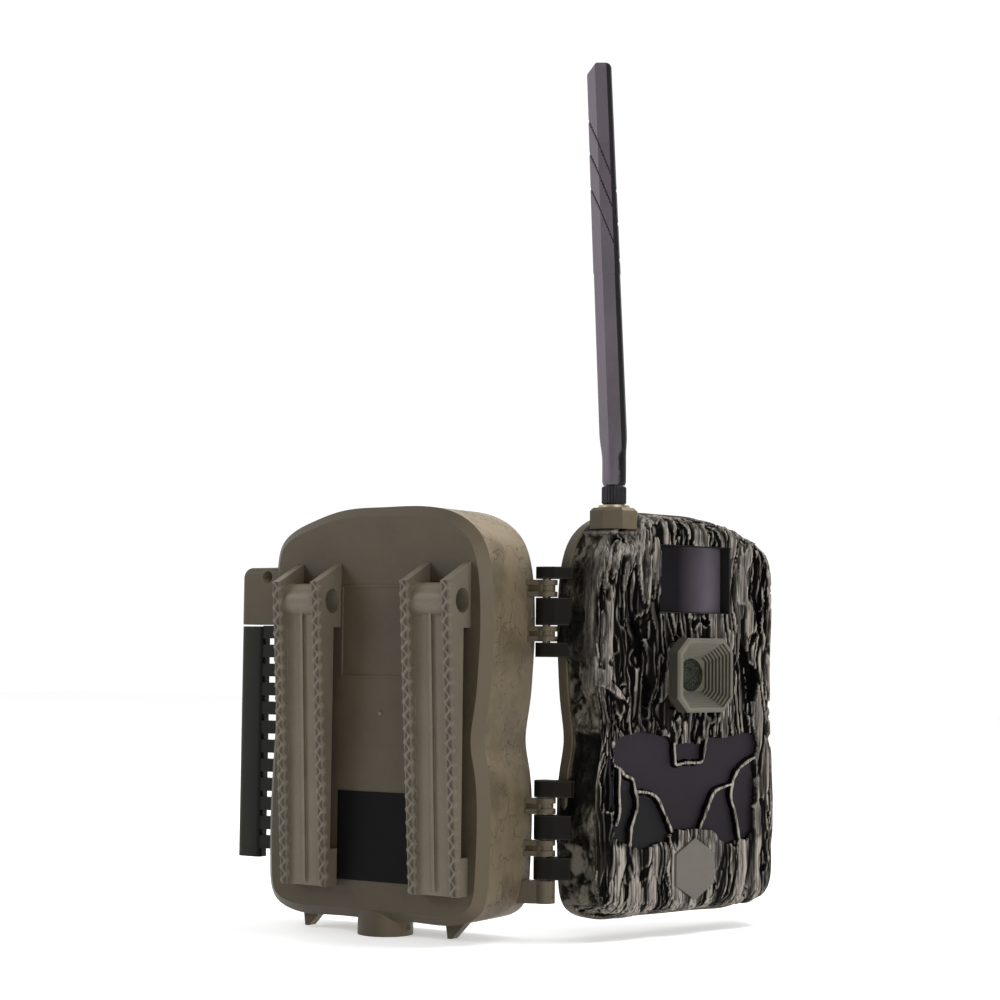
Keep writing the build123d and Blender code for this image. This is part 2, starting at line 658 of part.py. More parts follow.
def make_pir_parts():
    bend = 40.0
    front = FACE_Y - 1.2
    ring = column(Pos(PIR_X, front - bend) * (Circle(bend) - Circle(bend - 1.6)), PIR_Z - 12.3, PIR_Z + 12.3)
    window = ring & block((PIR_X - 18, PIR_X + 18), (front - 6, front + 1), (PIR_Z - 20, PIR_Z + 20))
    board = block((-9, 9), (42.4, 44.0), (PIR_Z - 8, PIR_Z + 8))
    sensor = rod((0, 44.0, PIR_Z), (0, 1, 0), 4.6, 4.0)
    return {"pir_window": window, "pir_board": board, "pir_sensor": sensor}


def make_ir_parts():
    window = slab(ir_opening(), FACE_Y - 2.8, FACE_Y - 1.4)
    board = block((-34, 34), (45.2, 46.8), (29, 64))
    leds = []
    for row in range(4):
        for i in range(9):
            place = (-30 + 7.5 * i, 46.8, 33.5 + 8.2 * row)
            leds.append(rod(place, (0, 1, 0), 2.5, 3.6))
    return {"ir_window": window, "ir_led_board": board, "ir_leds": Compound(leds)}


def make_badge():
    return slab(Pos(BADGE_X, BADGE_Z) * RegularPolygon(BADGE_R, 6, rotation=30), FACE_Y, FACE_Y + 0.9)


def make_pigtail():
    """Aerial lead from the jack down to the radio module."""
    x, y = ANTENNA
    start = (x, y, 136.5)
    way = [(x, y, 132.5), (22, 43.6, 118), (0, 43.1, 107), (-20, 43.1, 106), (-25, 43.1, 98)]
    path = FilletPolyline(start, *way, radius=8)
    return sweep(Plane(origin=start, z_dir=(0, 0, -1)) * Circle(0.9), path=path)


def make_front_parts():
    lcd_face = Pos(*SCREEN) * Rectangle(2 * SCREEN_HALF[0] - 0.2, 2 * SCREEN_HALF[1] - 0.2)
    lcd_back = Pos(*SCREEN) * Rectangle(2 * SCREEN_HALF[0] + 4, 2 * SCREEN_HALF[1] + 4)
    parts = {
        "front_frame": make_front_frame(),
        "front_hinge_lugs": make_front_hinge_lugs(),
        "front_shell": make_front_shell(),
        "inner_panel": make_inner_panel(),
        "panel_screws": make_panel_screws(),
        "lcd_window": slab(lcd_face, PANEL_Y0 + 0.2, PANEL_Y1),
        "lcd_module": slab(lcd_back, PANEL_Y1, BOARD_Y - 0.1),
        "main_board": make_main_board(),
        "board_chips": make_board_chips(),
        "cell_modem": make_cell_modem(),
        "button_switches": make_button_switches(),
        "switch_body": make_switch_body(),
        "card_socket": make_card_socket(),
        "lens_hood": make_lens_hood(),
        "badge_plate": make_badge(),
        "status_light": rod((-27, PANEL_Y0, 68), (0, 1, 0), 1.5, 4.2),
        "microphone": rod((-27, PANEL_Y1, 52), (0, 1, 0), 2.4, 2.0),
        "antenna_mount": make_antenna_mount(),
        "sma_jack": make_sma_jack(),
        "jack_washer": make_jack_washer(),
        "antenna_pigtail": make_pigtail(),
        "antenna_nut": make_antenna_nut(),
        "antenna_blade": make_antenna_blade(),
        "power_switch": make_power_switch(),
        "memory_card": make_memory_card(),
    }
    parts.update(make_lens_parts())
    parts.update(make_pir_parts())
    parts.update(make_ir_parts())
    for name, (x, z) in button_places().items():
        parts[name] = make_button(x, z)
    return parts


def make_rear_parts():
    parts = {
        "rear_housing": make_rear_housing(),
        "rear_hinge_lugs": make_rear_hinge_lugs(),
        "latch_lugs": make_latch_lugs(),
        "lock_tab": make_lock_tab(),
        "bay_rails": make_bay_rails(),
        "bracket_screws": make_bracket_screws(),
        "tripod_insert": make_tripod_insert(),
        "rating_label": block(LABEL_X, (-0.4, 0), LABEL_Z),
        "gasket_seal": make_gasket(),
        "hinge_pin_upper": pin(HINGE_X, HINGE_Y, 96.6, 128.9),
        "hinge_pin_lower": pin(HINGE_X, HINGE_Y, 7.6, 51.0),
        "latch_pin": rod((LATCH_X, LATCH_Y, LATCH_Z0), (0, 0, 1), PIN_R, LATCH_Z1 - LATCH_Z0),
        "latch_lever": make_latch_lever(),
        "battery_tray": make_battery_tray(),
        "battery_cells": make_battery_cells(),
        "cell_springs": make_cell_springs(),
        "cell_contacts": make_cell_contacts(),
        "bay_contacts": make_bay_contacts(),
    }
    for name, pair in RAIL_PAIRS.items():
        parts[name] = make_bracket(*pair)
    return parts


def main():
    os.makedirs("parts", exist_ok=True)
    hinge = Axis((HINGE_X, HINGE_Y, 0), (0, 0, 1))
    rest = {name: shape.rotate(hinge, -OPEN_ANGLE) for name, shape in make_front_parts().items()}
    rest.update(make_rear_parts())
    to_row = Pos(0, -BOSS_Y, FOOT_DROP)
    for name, shape in rest.items():
        export_step(to_row * shape, f"parts/{name}.step")


main()
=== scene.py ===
import json
import math

import bpy
import numpy as np
from mathutils import Matrix, Vector


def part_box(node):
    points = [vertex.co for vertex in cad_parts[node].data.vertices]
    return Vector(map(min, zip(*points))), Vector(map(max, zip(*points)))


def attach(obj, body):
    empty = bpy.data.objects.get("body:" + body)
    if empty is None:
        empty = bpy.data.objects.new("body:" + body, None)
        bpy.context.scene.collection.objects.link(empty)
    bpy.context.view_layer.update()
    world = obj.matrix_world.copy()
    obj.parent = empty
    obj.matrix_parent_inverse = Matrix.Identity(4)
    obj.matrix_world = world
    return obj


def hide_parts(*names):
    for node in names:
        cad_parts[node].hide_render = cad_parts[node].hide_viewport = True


# Trail camera, open on its side hinge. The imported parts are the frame; this script adds the bark
# relief of the front half, the fine details and every surface finish. Lengths are in metres where
# they meet the frame, and in millimetres in the tables of the shapes drawn here.

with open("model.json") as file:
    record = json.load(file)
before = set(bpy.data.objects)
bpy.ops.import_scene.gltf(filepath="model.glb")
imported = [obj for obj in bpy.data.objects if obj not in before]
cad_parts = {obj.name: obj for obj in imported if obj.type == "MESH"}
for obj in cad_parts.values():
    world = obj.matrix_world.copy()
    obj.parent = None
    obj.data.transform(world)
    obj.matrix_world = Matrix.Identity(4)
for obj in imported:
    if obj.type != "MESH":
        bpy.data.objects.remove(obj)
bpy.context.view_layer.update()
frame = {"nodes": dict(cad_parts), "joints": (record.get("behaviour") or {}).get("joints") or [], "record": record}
MM = 0.001


# Places taken from the frame

def joint(name):
    return next(j for j in frame["joints"] if j["name"] == name)


HINGE = Vector(joint("front_hinge")["pos_m"])
OPEN_ANGLE = math.radians(-joint("front_hinge")["range_deg"][0])
AERIAL = Vector(joint("antenna_swivel")["pos_m"])


def turn(angle):
    """Rotation about the hinge's upright axis."""
    pivot = Matrix.Translation((HINGE.x, HINGE.y, 0))
    return pivot @ Matrix.Rotation(angle, 4, "Z") @ pivot.inverted()


OPEN = turn(-OPEN_ANGLE)
SHUT = turn(OPEN_ANGLE)


def node_points(node):
    """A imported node's vertices at rest."""
    return [v.co for v in frame["nodes"][node].data.vertices]


def shut_points(node):
    """A front node's vertices with the halves shut."""
    return np.array([SHUT @ point for point in node_points(node)])


def shut_box(node):
    points = shut_points(node)
    return points.min(0), points.max(0)


FACE_Y = shut_box("front_shell")[1][1]
SEAM_Y = shut_box("front_shell")[0][1]
FOOT_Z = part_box("rear_housing")[0].z + 6 * MM

# Aerial: turn of the blade's wide side, flutes of the collar and distances of the cuts below the tip
BLADE_FACE = math.radians(31.8)
BLADE_RIGHT = (math.cos(BLADE_FACE), math.sin(BLADE_FACE), 0)
FLUTES = 26
GROOVES = [22.5, 34.9, 48.4]

# Infrared panel: depth behind the face, and the round patch of painted shadow that takes in the panes by the hinge
IR_DEPTH = 2.2
PANE_MIDDLE = (31.0, 30.0)
PANE_RADIUS = 18.4


# Node materials

def new_material(name):
    material = bpy.data.materials.new(name)
    material.use_nodes = True
    tree = material.node_tree
    return material, tree, tree.nodes["Principled BSDF"]


def reopened(material):
    """Tree, shader and present colour of a material that is built on further."""
    tree = material.node_tree
    shader = tree.nodes["Principled BSDF"]
    return tree, shader, shader.inputs["Base Color"].links[0].from_socket


def feed(tree, node, inputs):
    """Links a node's inputs to sockets, or sets them to plain values."""
    for key, value in inputs.items():
        if isinstance(value, bpy.types.NodeSocket):
            tree.links.new(value, node.inputs[key])
        else:
            node.inputs[key].default_value = value


def add(tree, kind, inputs=None, **settings):
    node = tree.nodes.new(kind)
    for key, value in settings.items():
        setattr(node, key, value)
    feed(tree, node, inputs or {})
    return node


def coords(tree, kind="Object"):
    return add(tree, "ShaderNodeTexCoord").outputs[kind]


def split(tree, vector):
    return add(tree, "ShaderNodeSeparateXYZ", {"Vector": vector}).outputs


def mesh_value(tree, name):
    """Value that the mesh carries at its vertices."""
    return add(tree, "ShaderNodeAttribute", attribute_name=name).outputs["Fac"]


def calc(tree, operation, *values):
    """One step of arithmetic on sockets or numbers."""
    return add(tree, "ShaderNodeMath", dict(enumerate(values)), operation=operation).outputs[0]


def along(tree, vector, direction):
    """How far a vector reaches along a direction."""
    ends = {0: vector, 1: direction}
    return add(tree, "ShaderNodeVectorMath", ends, operation="DOT_PRODUCT").outputs["Value"]


def noise(tree, scale, detail=4.0, rough=0.55, stretch=(1, 1, 1)):
    """Noise in object space; scale is per metre."""
    mapped = add(tree, "ShaderNodeMapping", {"Vector": coords(tree), "Scale": stretch})
    inputs = {"Vector": mapped.outputs["Vector"], "Scale": scale, "Detail": detail, "Roughness": rough}
    return add(tree, "ShaderNodeTexNoise", inputs).outputs["Fac"]


def ramp(tree, fac, stops):
    node = add(tree, "ShaderNodeValToRGB", {"Fac": fac})
    elements = node.color_ramp.elements
    while len(elements) < len(stops):
        elements.new(0.5)
    for element, (place, colour) in zip(elements, stops):
        element.position = place
        element.color = (*colour, 1)
    return node.outputs["Color"]


def mix(tree, fac, a, b, blend="MIX"):
    """Colour mix. Its sockets share their names with the number sockets, so they go by index."""
    node = add(tree, "ShaderNodeMix", {0: fac}, data_type="RGBA", blend_type=blend)
    for index, value in ((6, a), (7, b)):
        feed(tree, node, {index: value if isinstance(value, bpy.types.NodeSocket) else (*value, 1)})
    return node.outputs[2]


def spread(tree, value, low=0.3, high=0.7, out_low=0.0, out_high=1.0):
    inputs = {"Value": value, "From Min": low, "From Max": high, "To Min": out_low, "To Max": out_high}
    return add(tree, "ShaderNodeMapRange", inputs).outputs["Result"]


def bump(tree, height, strength, distance, under=None):
    """Normal with a height laid over it; distance is in millimetres."""
    inputs = {"Height": height, "Strength": strength, "Distance": distance * MM}
    if under is not None:
        inputs["Normal"] = under
    return add(tree, "ShaderNodeBump", inputs).outputs["Normal"]


def rounded(tree, radius, samples):
    return add(tree, "ShaderNodeBevel", {"Radius": radius}, samples=samples).outputs["Normal"]


def edge_mask(tree, radius):
    """1 on sharp edges, 0 on flats."""
    flat = add(tree, "ShaderNodeNewGeometry").outputs["Normal"]
    return spread(tree, along(tree, rounded(tree, radius, 4), flat), 0.995, 0.86)


def shade(colour, factor):
    return tuple(min(1, c * factor) for c in colour)


def grey(level):
    return (level, level, level)


def clouded(tree, fac, colour):
    """The colour, drifting a seventh darker and paler."""
    return mix(tree, spread(tree, fac), shade(colour, 0.86), shade(colour, 1.14))


def moulded(name, colour, rough=0.55, grain=0.06, wear=0.35, soft=0.35, specular=0.4, rub=1.9):
    """Moulded plastic: fine grain, slow colour drift, rubbed edges and dust in the grain."""
    material, tree, shader = new_material(name)
    drift = noise(tree, 38, 3, 0.6)
    fine = noise(tree, 900, 3, 0.6)
    dust = spread(tree, fine, 0.35, 0.75, 0, 0.22)
    specks = mix(tree, dust, clouded(tree, drift, colour), shade(colour, 1.5))
    uneven = spread(tree, drift, 0.35, 0.62, 0.35, 1.0)
    worn = calc(tree, "MULTIPLY", calc(tree, "MULTIPLY", edge_mask(tree, soft * MM * 1.4), uneven), wear)
    feed(tree, shader, {
        "Base Color": mix(tree, worn, specks, shade(colour, rub)),
        "Roughness": spread(tree, drift, 0.3, 0.7, rough - 0.06, rough + 0.07),
        "Specular IOR Level": specular,
        "Normal": bump(tree, fine, grain, 0.3, rounded(tree, soft * MM, 6))})
    return material


def metal(name, colour, rough=0.3):
    """Machined or plated metal with fine brushing."""
    material, tree, shader = new_material(name)
    lines = noise(tree, 700, 3, 0.6, (1, 1, 14))
    cloud = noise(tree, 90, 3)
    feed(tree, shader, {
        "Base Color": mix(tree, spread(tree, cloud), shade(colour, 0.8), shade(colour, 1.1)),
        "Metallic": 1.0,
        "Roughness": spread(tree, lines, 0.3, 0.7, rough - 0.08, rough + 0.12),
        "Normal": bump(tree, lines, 0.08, 0.1)})
    return material


def glossy(name, colour, rough=0.12, specular=0.25):
    """Smoked or coated moulding with a smooth face, slight haze and specks of dust."""
    material, tree, shader = new_material(name)
    cloud = noise(tree, 45, 3)
    specks = spread(tree, noise(tree, 1600, 2), 0.66, 0.8, 0, 0.35)
    feed(tree, shader, {
        "Base Color": mix(tree, specks, clouded(tree, cloud, colour), shade(colour, 3.0)),
        "Roughness": spread(tree, cloud, 0.3, 0.7, rough, rough + 0.12),
        "Specular IOR Level": specular,
        "Normal": bump(tree, cloud, 0.03, 0.4)})
    return material


def faceted(name, colour):
    """Aerial sleeve: painted light on facets facing away from its right side, painted shade on those facing it and
    in the cuts.
    """
    material = moulded(name, colour, 0.45, 0.05, 0.3, 0.15, 0.12)
    tree, shader, base = reopened(material)
    slant = mesh_value(tree, "slant")
    wave = spread(tree, noise(tree, 120, 3, 0.6), 0.3, 0.7, -0.25, 0.25)
    facing = along(tree, coords(tree, "Normal"), BLADE_RIGHT)
    # Painted light: lighter on the facets that face away from the blade's right side.
    painted_light = mix(tree, spread(tree, facing, -0.3, -0.7, 0, 0.75), base, shade(colour, 1.9))
    # Painted shade: near-black on the facets that face the blade's right side, with a wavering border.
    painted_shade_side = spread(tree, calc(tree, "ADD", facing, wave), 0.2, 0.45)
    tone = mix(tree, painted_shade_side, painted_light, shade(colour, 0.08))
    # Painted shade in each slanting cut.
    for start in GROOVES:
        gap = calc(tree, "ABSOLUTE", calc(tree, "SUBTRACT", slant, start))
        tone = mix(tree, spread(tree, gap, 0.3, 0.75, 0.95, 0), tone, shade(colour, 0.05))
    feed(tree, shader, {"Base Color": tone})
    return material


def knurled(name, colour):
    """Collar plastic with dark flutes around the aerial's axis."""
    material = moulded(name, colour, 0.38, 0.05, 0.6, 0.12, 0.2)
    tree, shader, base = reopened(material)
    spot = split(tree, coords(tree))
    aside = calc(tree, "SUBTRACT", spot["X"], AERIAL.x)
    deep = calc(tree, "SUBTRACT", spot["Y"], AERIAL.y)
    turns = calc(tree, "MULTIPLY", calc(tree, "ARCTAN2", aside, deep), float(FLUTES))
    flutes = spread(tree, calc(tree, "SINE", turns), -0.2, 0.5, 0, 0.9)
    feed(tree, shader, {"Base Color": mix(tree, flutes, base, shade(colour, 0.12))})
    return material


def lever(name, colour):
    """Latch plastic with a painted highlight along its rounded free edge and painted shade towards its bars."""
    material = moulded(name, colour, 0.45, 0.05, 0.4, 0.35, 0.15)
    tree, shader, base = reopened(material)
    across = split(tree, coords(tree))["X"]
    free_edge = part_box("latch_lever")[0].x
    # Painted highlight: lighter along the rounded free edge.
    near = spread(tree, across, free_edge, free_edge + 2.5 * MM, 0.8, 0.0)
    # Painted shade: darker towards the bars.
    far = spread(tree, across, free_edge + 3 * MM, free_edge + 9 * MM, 0.0, 0.85)
    # The painted highlight is laid over the base colour here, then the painted shade over both.
    rubbed = mix(tree, near, base, shade(colour, 4.5))
    feed(tree, shader, {"Base Color": mix(tree, far, rubbed, shade(colour, 0.25))})
    return material


def sensor_window(name, colour):
    """Milky window with painted shade towards its hinge side, where its curve falls away from the light."""
    material = glossy(name, colour, 0.3, 0.08)
    tree, shader, base = reopened(material)
    across = (math.sin(OPEN_ANGLE - math.pi / 2), math.cos(OPEN_ANGLE - math.pi / 2), 0)
    side = min(point.dot(Vector(across)) for point in node_points("pir_window"))
    # Painted shade over the hinge side of the window.
    shadow = spread(tree, along(tree, coords(tree), across), side + 0.010, side + 0.025, 1.0, 0.0)
    feed(tree, shader, {"Base Color": mix(tree, shadow, base, shade(colour, 0.09))})
    return material


def smoked(name, colour):
    """Smoked infrared panel: darker towards its foot, with painted shadow in the panes next to the hinge."""
    material = glossy(name, colour, 0.34, 0.15)
    tree, shader, base = reopened(material)
    spot = coords(tree)
    low = spread(tree, split(tree, spot)["Z"], FOOT_Z + 60 * MM, FOOT_Z + 32 * MM, 0.0, 0.6)
    middle = OPEN @ Vector((PANE_MIDDLE[0] * MM, FACE_Y - IR_DEPTH * MM, FOOT_Z + PANE_MIDDLE[1] * MM))
    ends = {0: spot, 1: tuple(middle)}
    away = add(tree, "ShaderNodeVectorMath", ends, operation="DISTANCE").outputs["Value"]
    # Painted shadow over the panes next to the hinge, inside a round patch.
    pane_shadow = spread(tree, away, (PANE_RADIUS - 0.5) * MM, (PANE_RADIUS + 0.5) * MM, 0.7, 0.0)
    dark = grey(sum(colour) / 18)
    feed(tree, shader, {"Base Color": mix(tree, pane_shadow, mix(tree, low, base, dark), dark)})
    return material


def stepped(name, colour):
    """Hood plastic with painted shade on its sides and steps, which turn away from the front; its front rims keep
    the moulded colour.
    """
    material = moulded(name, colour, 0.42, 0.05, 0.45, 0.2)
    tree, shader, base = reopened(material)
    facing = along(tree, coords(tree, "Normal"), (math.sin(OPEN_ANGLE), math.cos(OPEN_ANGLE), 0))
    # Painted shade: darker wherever the hood's faces turn away from the front.
    sides = spread(tree, facing, 0.9, 0.5, 0, 0.85)
    feed(tree, shader, {"Base Color": mix(tree, sides, base, shade(colour, 0.28))})
    return material


def clear(name, tint):
    """Clear window: a thin dark tint with a polished face."""
    material, tree, shader = new_material(name)
    haze = noise(tree, 300, 3)
    feed(tree, shader, {
        "Base Color": mix(tree, haze, shade(tint, 0.7), shade(tint, 1.3)),
        "Roughness": spread(tree, haze, 0.3, 0.8, 0.04, 0.14),
        "Alpha": 0.35,
        "Normal": bump(tree, haze, 0.02, 0.2)})
    return material


def board(name):
    """Solder-masked circuit board with faint copper areas."""
    material, tree, shader = new_material(name)
    copper = add(tree, "ShaderNodeTexVoronoi", {"Scale": 260.0}, distance="MANHATTAN").outputs["Distance"]
    feed(tree, shader, {
        "Base Color": mix(tree, spread(tree, copper, 0.2, 0.5), (0.012, 0.075, 0.04), (0.02, 0.13, 0.07)),
        "Roughness": spread(tree, noise(tree, 200), 0.3, 0.7, 0.3, 0.5),
        "Normal": bump(tree, copper, 0.15, 0.2)})
    return material


def bark_colour(tree, relief, crest, paint, streak, fibre):
    """Bark of the front: dark fissures deepened by painted shade, taupe ridges, rubbed tops with painted
    highlight, painted shadow patches.
    """
    # Colour by depth: the fissures are dark, and the deepest parts are darkened to near-black as painted shade.
    deep = ramp(tree, relief, [(0.32, (0.0012, 0.0011, 0.001)), (0.52, (0.009, 0.0078, 0.0066)),
                               (0.68, (0.098, 0.088, 0.079)), (0.9, (0.245, 0.221, 0.198))])
    streaked = mix(tree, spread(tree, streak, 0.46, 0.66, 0, 0.7), deep, (0.006, 0.005, 0.0045))
    # Rubbed tops, lightened further as painted highlight.
    crests = mix(tree, spread(tree, crest, 0.55, 0.95, 0, 0.85), streaked, (0.42, 0.38, 0.33))
    combing = ramp(tree, fibre, [(0.38, grey(1)), (0.5, grey(0.68)), (0.6, grey(0.2))])
    combed = mix(tree, 1.0, crests, combing, "MULTIPLY")
    # Painted shadow patches darken the bark to near-black.
    return mix(tree, spread(tree, paint, 0.2, 0.8, 0, 0.7), combed, (0.002, 0.0018, 0.0016))


def moss_colour(tree, relief, crest, paint, worm):
    """Blotched camouflage of the smooth hinge side, with painted shade and painted light laid over it."""
    patch = noise(tree, 105, 5, 0.62, (1, 1, 0.7))
    moss = ramp(tree, patch, [(0.36, (0.003, 0.0029, 0.0022)), (0.44, (0.02, 0.018, 0.013)),
                              (0.52, (0.058, 0.055, 0.044)), (0.64, (0.2, 0.185, 0.155))])
    eaten = ramp(tree, worm, [(0.36, grey(1)), (0.5, (0.6, 0.58, 0.55)), (0.62, (0.12, 0.11, 0.1))])
    moss = mix(tree, 1.0, moss, eaten, "MULTIPLY")
    # Painted shade: near-black in the low creases.
    moss = mix(tree, spread(tree, relief, 0.2, 0.6, 0.85, 0.0), moss, (0.004, 0.004, 0.0035))
    # Lighter on rubbed raised edges and in painted sunlight.
    moss = mix(tree, spread(tree, crest, 0.65, 1.0, 0, 0.55), moss, (0.17, 0.15, 0.12))
    # Painted shade patches, near-black.
    return mix(tree, spread(tree, paint, 0.2, 0.8, 0, 0.85), moss, (0.0015, 0.0014, 0.0012))


def bark(name):
    """Moulded bark. The mesh carries relief (0 deep, 1 high; the deep end takes painted shade), crest (rubbed
    edges with painted highlight, and painted sunlight on the hinge side), camo (1 on the smooth hinge side)
    and paint (painted shade patches)."""
    material, tree, shader = new_material(name)
    relief, crest, camo, paint = [mesh_value(tree, mark) for mark in ("relief", "crest", "camo", "paint")]
    streak = noise(tree, 520, 4, 0.6, (1, 1, 0.09))
    fine = noise(tree, 1500, 3, 0.6)
    worm = noise(tree, 420, 4, 0.7, (1, 1, 0.6))
    fibre = noise(tree, 1250, 3, 0.65, (1, 1, 0.05))
    front = bark_colour(tree, relief, crest, paint, streak, fibre)
    side = moss_colour(tree, relief, crest, paint, worm)
    lumps = bump(tree, calc(tree, "MULTIPLY", worm, camo), 0.9, 1.6)
    combs = bump(tree, fibre, 0.5, 0.4, lumps)
    streaks = bump(tree, streak, 0.55, 0.5, combs)
    feed(tree, shader, {
        "Base Color": mix(tree, camo, front, side),
        "Roughness": spread(tree, fine, 0.3, 0.7, 0.5, 0.75),
        "Specular IOR Level": 0.02,
        "Normal": bump(tree, fine, 0.12, 0.2, streaks)})
    return material


def bracket(name, colour):
    """Strap bracket plastic; the grip edges carry pit (painted shade in the hollows) and bead (rubbed tops with
    painted highlight).
    """
    material = moulded(name, colour, 0.45, 0.08, 0.6, 0.25, 0.3)
    tree, shader, base = reopened(material)
    # Painted shade in the grip's pits.
    pitted = mix(tree, mesh_value(tree, "pit"), base, shade(colour, 0.18))
    # Rubbed bead tops, lightened further as painted highlight.
    feed(tree, shader, {"Base Color": mix(tree, mesh_value(tree, "bead"), pitted, shade(colour, 1.5))})
    return material


def housing(name, colour, rough):
    """Body plastic with painted light on its side walls; these also carry fine veins, creases and a camouflage
    print.
    """
    material = moulded(name, colour, rough, 0.05, 0.45, 0.3, 0.25)
    tree, shader, base = reopened(material)
    facing = split(tree, coords(tree, "Normal"))
    side = spread(tree, calc(tree, "POWER", facing["Y"], 2.0), 0.3, 0.05)
    # Painted light: the side walls lightened.
    painted_light = mix(tree, calc(tree, "MULTIPLY", side, 0.6), base, shade(colour, 3.6))
    # Painted light, stronger where a face turns towards +X.
    turned = mix(tree, spread(tree, facing["X"], 0.25, 0.65, 0, 0.4), painted_light, shade(colour, 3.0))
    # Painted light, strongest on the upward-turned tops of the side walls.
    crown_light = calc(tree, "MULTIPLY", side, spread(tree, facing["Z"], 0.1, 0.6, 0, 0.5))
    lit = mix(tree, crown_light, turned, shade(colour, 8.0))
    patches = calc(tree, "MULTIPLY", side, spread(tree, noise(tree, 50, 5, 0.65), 0.46, 0.6))
    printed = mix(tree, calc(tree, "MULTIPLY", patches, 0.4), lit, shade(colour, 0.6))
    level = calc(tree, "SUBTRACT", noise(tree, 60, 3, 0.7, (1, 0.8, 0.6)), 0.5)
    vein = spread(tree, calc(tree, "ABSOLUTE", level), 0, 0.012, 1, 0)
    thread = spread(tree, calc(tree, "MULTIPLY", side, vein), 0, 1, 0, 0.45)
    creases = noise(tree, 95, 5, 0.62, (1, 0.8, 0.45))
    folded = calc(tree, "SUBTRACT", creases, spread(tree, vein, 0, 1, 0, 0.4))
    grain = shader.inputs["Normal"].links[0].from_socket
    feed(tree, shader, {
        "Base Color": mix(tree, thread, printed, shade(colour, 0.5)),
        "Normal": bump(tree, calc(tree, "MULTIPLY", side, folded), 0.55, 1.2, grain)})
    return material


# The finish of each material slot: its maker and what the maker takes after the name
FINISHES = {
    "body_plastic": (housing, (0.051, 0.040, 0.0245), 0.45),
    "lug_plastic": (moulded, (0.0068, 0.0058, 0.0042), 0.55, 0.05, 0.9, 0.7, 0.08, 8),
    "bark_plastic": (bark,),
    "bracket_plastic": (bracket, (0.108, 0.091, 0.065)),
    "latch_plastic": (lever, (0.0115, 0.0115, 0.0076)),
    "hood_plastic": (stepped, (0.118, 0.106, 0.08)),
    "badge_plastic": (moulded, (0.106, 0.096, 0.079), 0.45, 0.05, 0.4, 0.2),
    "antenna_plastic": (faceted, (0.082, 0.069, 0.083)),
    "nut_plastic": (knurled, (0.021, 0.02, 0.023)),
    "black_plastic": (moulded, (0.006, 0.006, 0.0065), 0.5),
    "panel_plastic": (moulded, (0.022, 0.023, 0.023), 0.55, 0.1),
    "button_rubber": (moulded, (0.04, 0.04, 0.042), 0.7, 0.05, 0.2),
    "seal_rubber": (moulded, (0.008, 0.008, 0.009), 0.85, 0.2, 0.0),
    "smoked_window": (smoked, (0.0178, 0.0118, 0.0186)),
    "pir_window": (sensor_window, (0.078, 0.063, 0.080)),
    "clear_window": (clear, (0.045, 0.05, 0.036)),
    "lens_glass": (glossy, (0.07, 0.078, 0.05), 0.08),
    "steel": (metal, (0.45, 0.45, 0.44)),
    "brass": (metal, (0.42, 0.36, 0.24), 0.4),
    "contact_metal": (metal, (0.7, 0.69, 0.65), 0.22),
    "label_vinyl": (glossy, (0.0022, 0.0022, 0.0024), 0.5, 0.08),
    "board_green": (board,),
    "chip_black": (moulded, (0.008, 0.008, 0.009), 0.6),
    "led_clear": (glossy, (0.3, 0.29, 0.34), 0.12),
    "cell_jacket": (glossy, (0.04, 0.05, 0.057), 0.25),
    "card_plastic": (moulded, (0.015, 0.027, 0.048), 0.45),
    "screen": (glossy, (0.012, 0.015, 0.018), 0.12),
}
MATERIALS = {slot: make(slot, *values) for slot, (make, *values) in FINISHES.items()}


def dress_nodes():
    """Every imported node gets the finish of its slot."""
    for part in frame["record"]["subparts"]:
        node = frame["nodes"][part["node"]]
        node.data.materials.clear()
        node.data.materials.append(MATERIALS.get(part["material_slot"], MATERIALS["body_plastic"]))


# Mesh helpers

def placed(name, data):
    """New object in the scene."""
    thing = bpy.data.objects.new(name, data)
    bpy.context.scene.collection.objects.link(thing)
    return thing


def mesh_object(name, points, faces):
    mesh = bpy.data.meshes.new(name)
    mesh.from_pydata([tuple(p) for p in points], [], [tuple(f) for f in faces])
    return placed(name, mesh)


def loft(rows, count, closed=True, capped=True, flipped=False):
    """Faces over rows of count points each; flipped turns their outer side round."""
    faces = [list(range(count))[::-1], list(range((rows - 1) * count, rows * count))] if capped else []
    for row in range(rows - 1):
        for i in range(count if closed else count - 1):
            a, b = row * count + i, row * count + (i + 1) % count
            faces.append([a, b, b + count, a + count])
    return [face[:1] + face[:0:-1] for face in faces] if flipped else faces


def fan(first, count, tip, flipped=False):
    """Triangles from a ring of points to a tip."""
    pairs = [(first + i, first + (i + 1) % count) for i in range(count)]
    return [[b, a, tip] if flipped else [a, b, tip] for a, b in pairs]


def make_piece(name, points, faces, slot, body, smooth=True, replaces=()):
    """Mesh piece in the row frame at rest."""
    piece = mesh_object(name, points, faces)
    piece.data.update()
    finish_piece(piece, slot, body, smooth, replaces)
    return piece


def finish_piece(piece, slot, body, smooth=True, replaces=()):
    if smooth:
        piece.data.polygons.foreach_set("use_smooth", [True] * len(piece.data.polygons))
    piece.data.materials.append(MATERIALS[slot])
    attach(piece, body)
    if replaces:
        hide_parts(*replaces)


def add_values(piece, **values):
    """Values at the vertices, for the material to read."""
    for name, numbers in values.items():
        layer = piece.data.attributes.new(name, "FLOAT", "POINT")
        layer.data.foreach_set("value", np.asarray(numbers, np.float32))


def read_all(items, field, width, kind=float):
    """One field of every vertex, normal or edge, as an array with width columns."""
    values = np.empty(len(items) * width, kind)
    items.foreach_get(field, values)
    return values.reshape(-1, width)


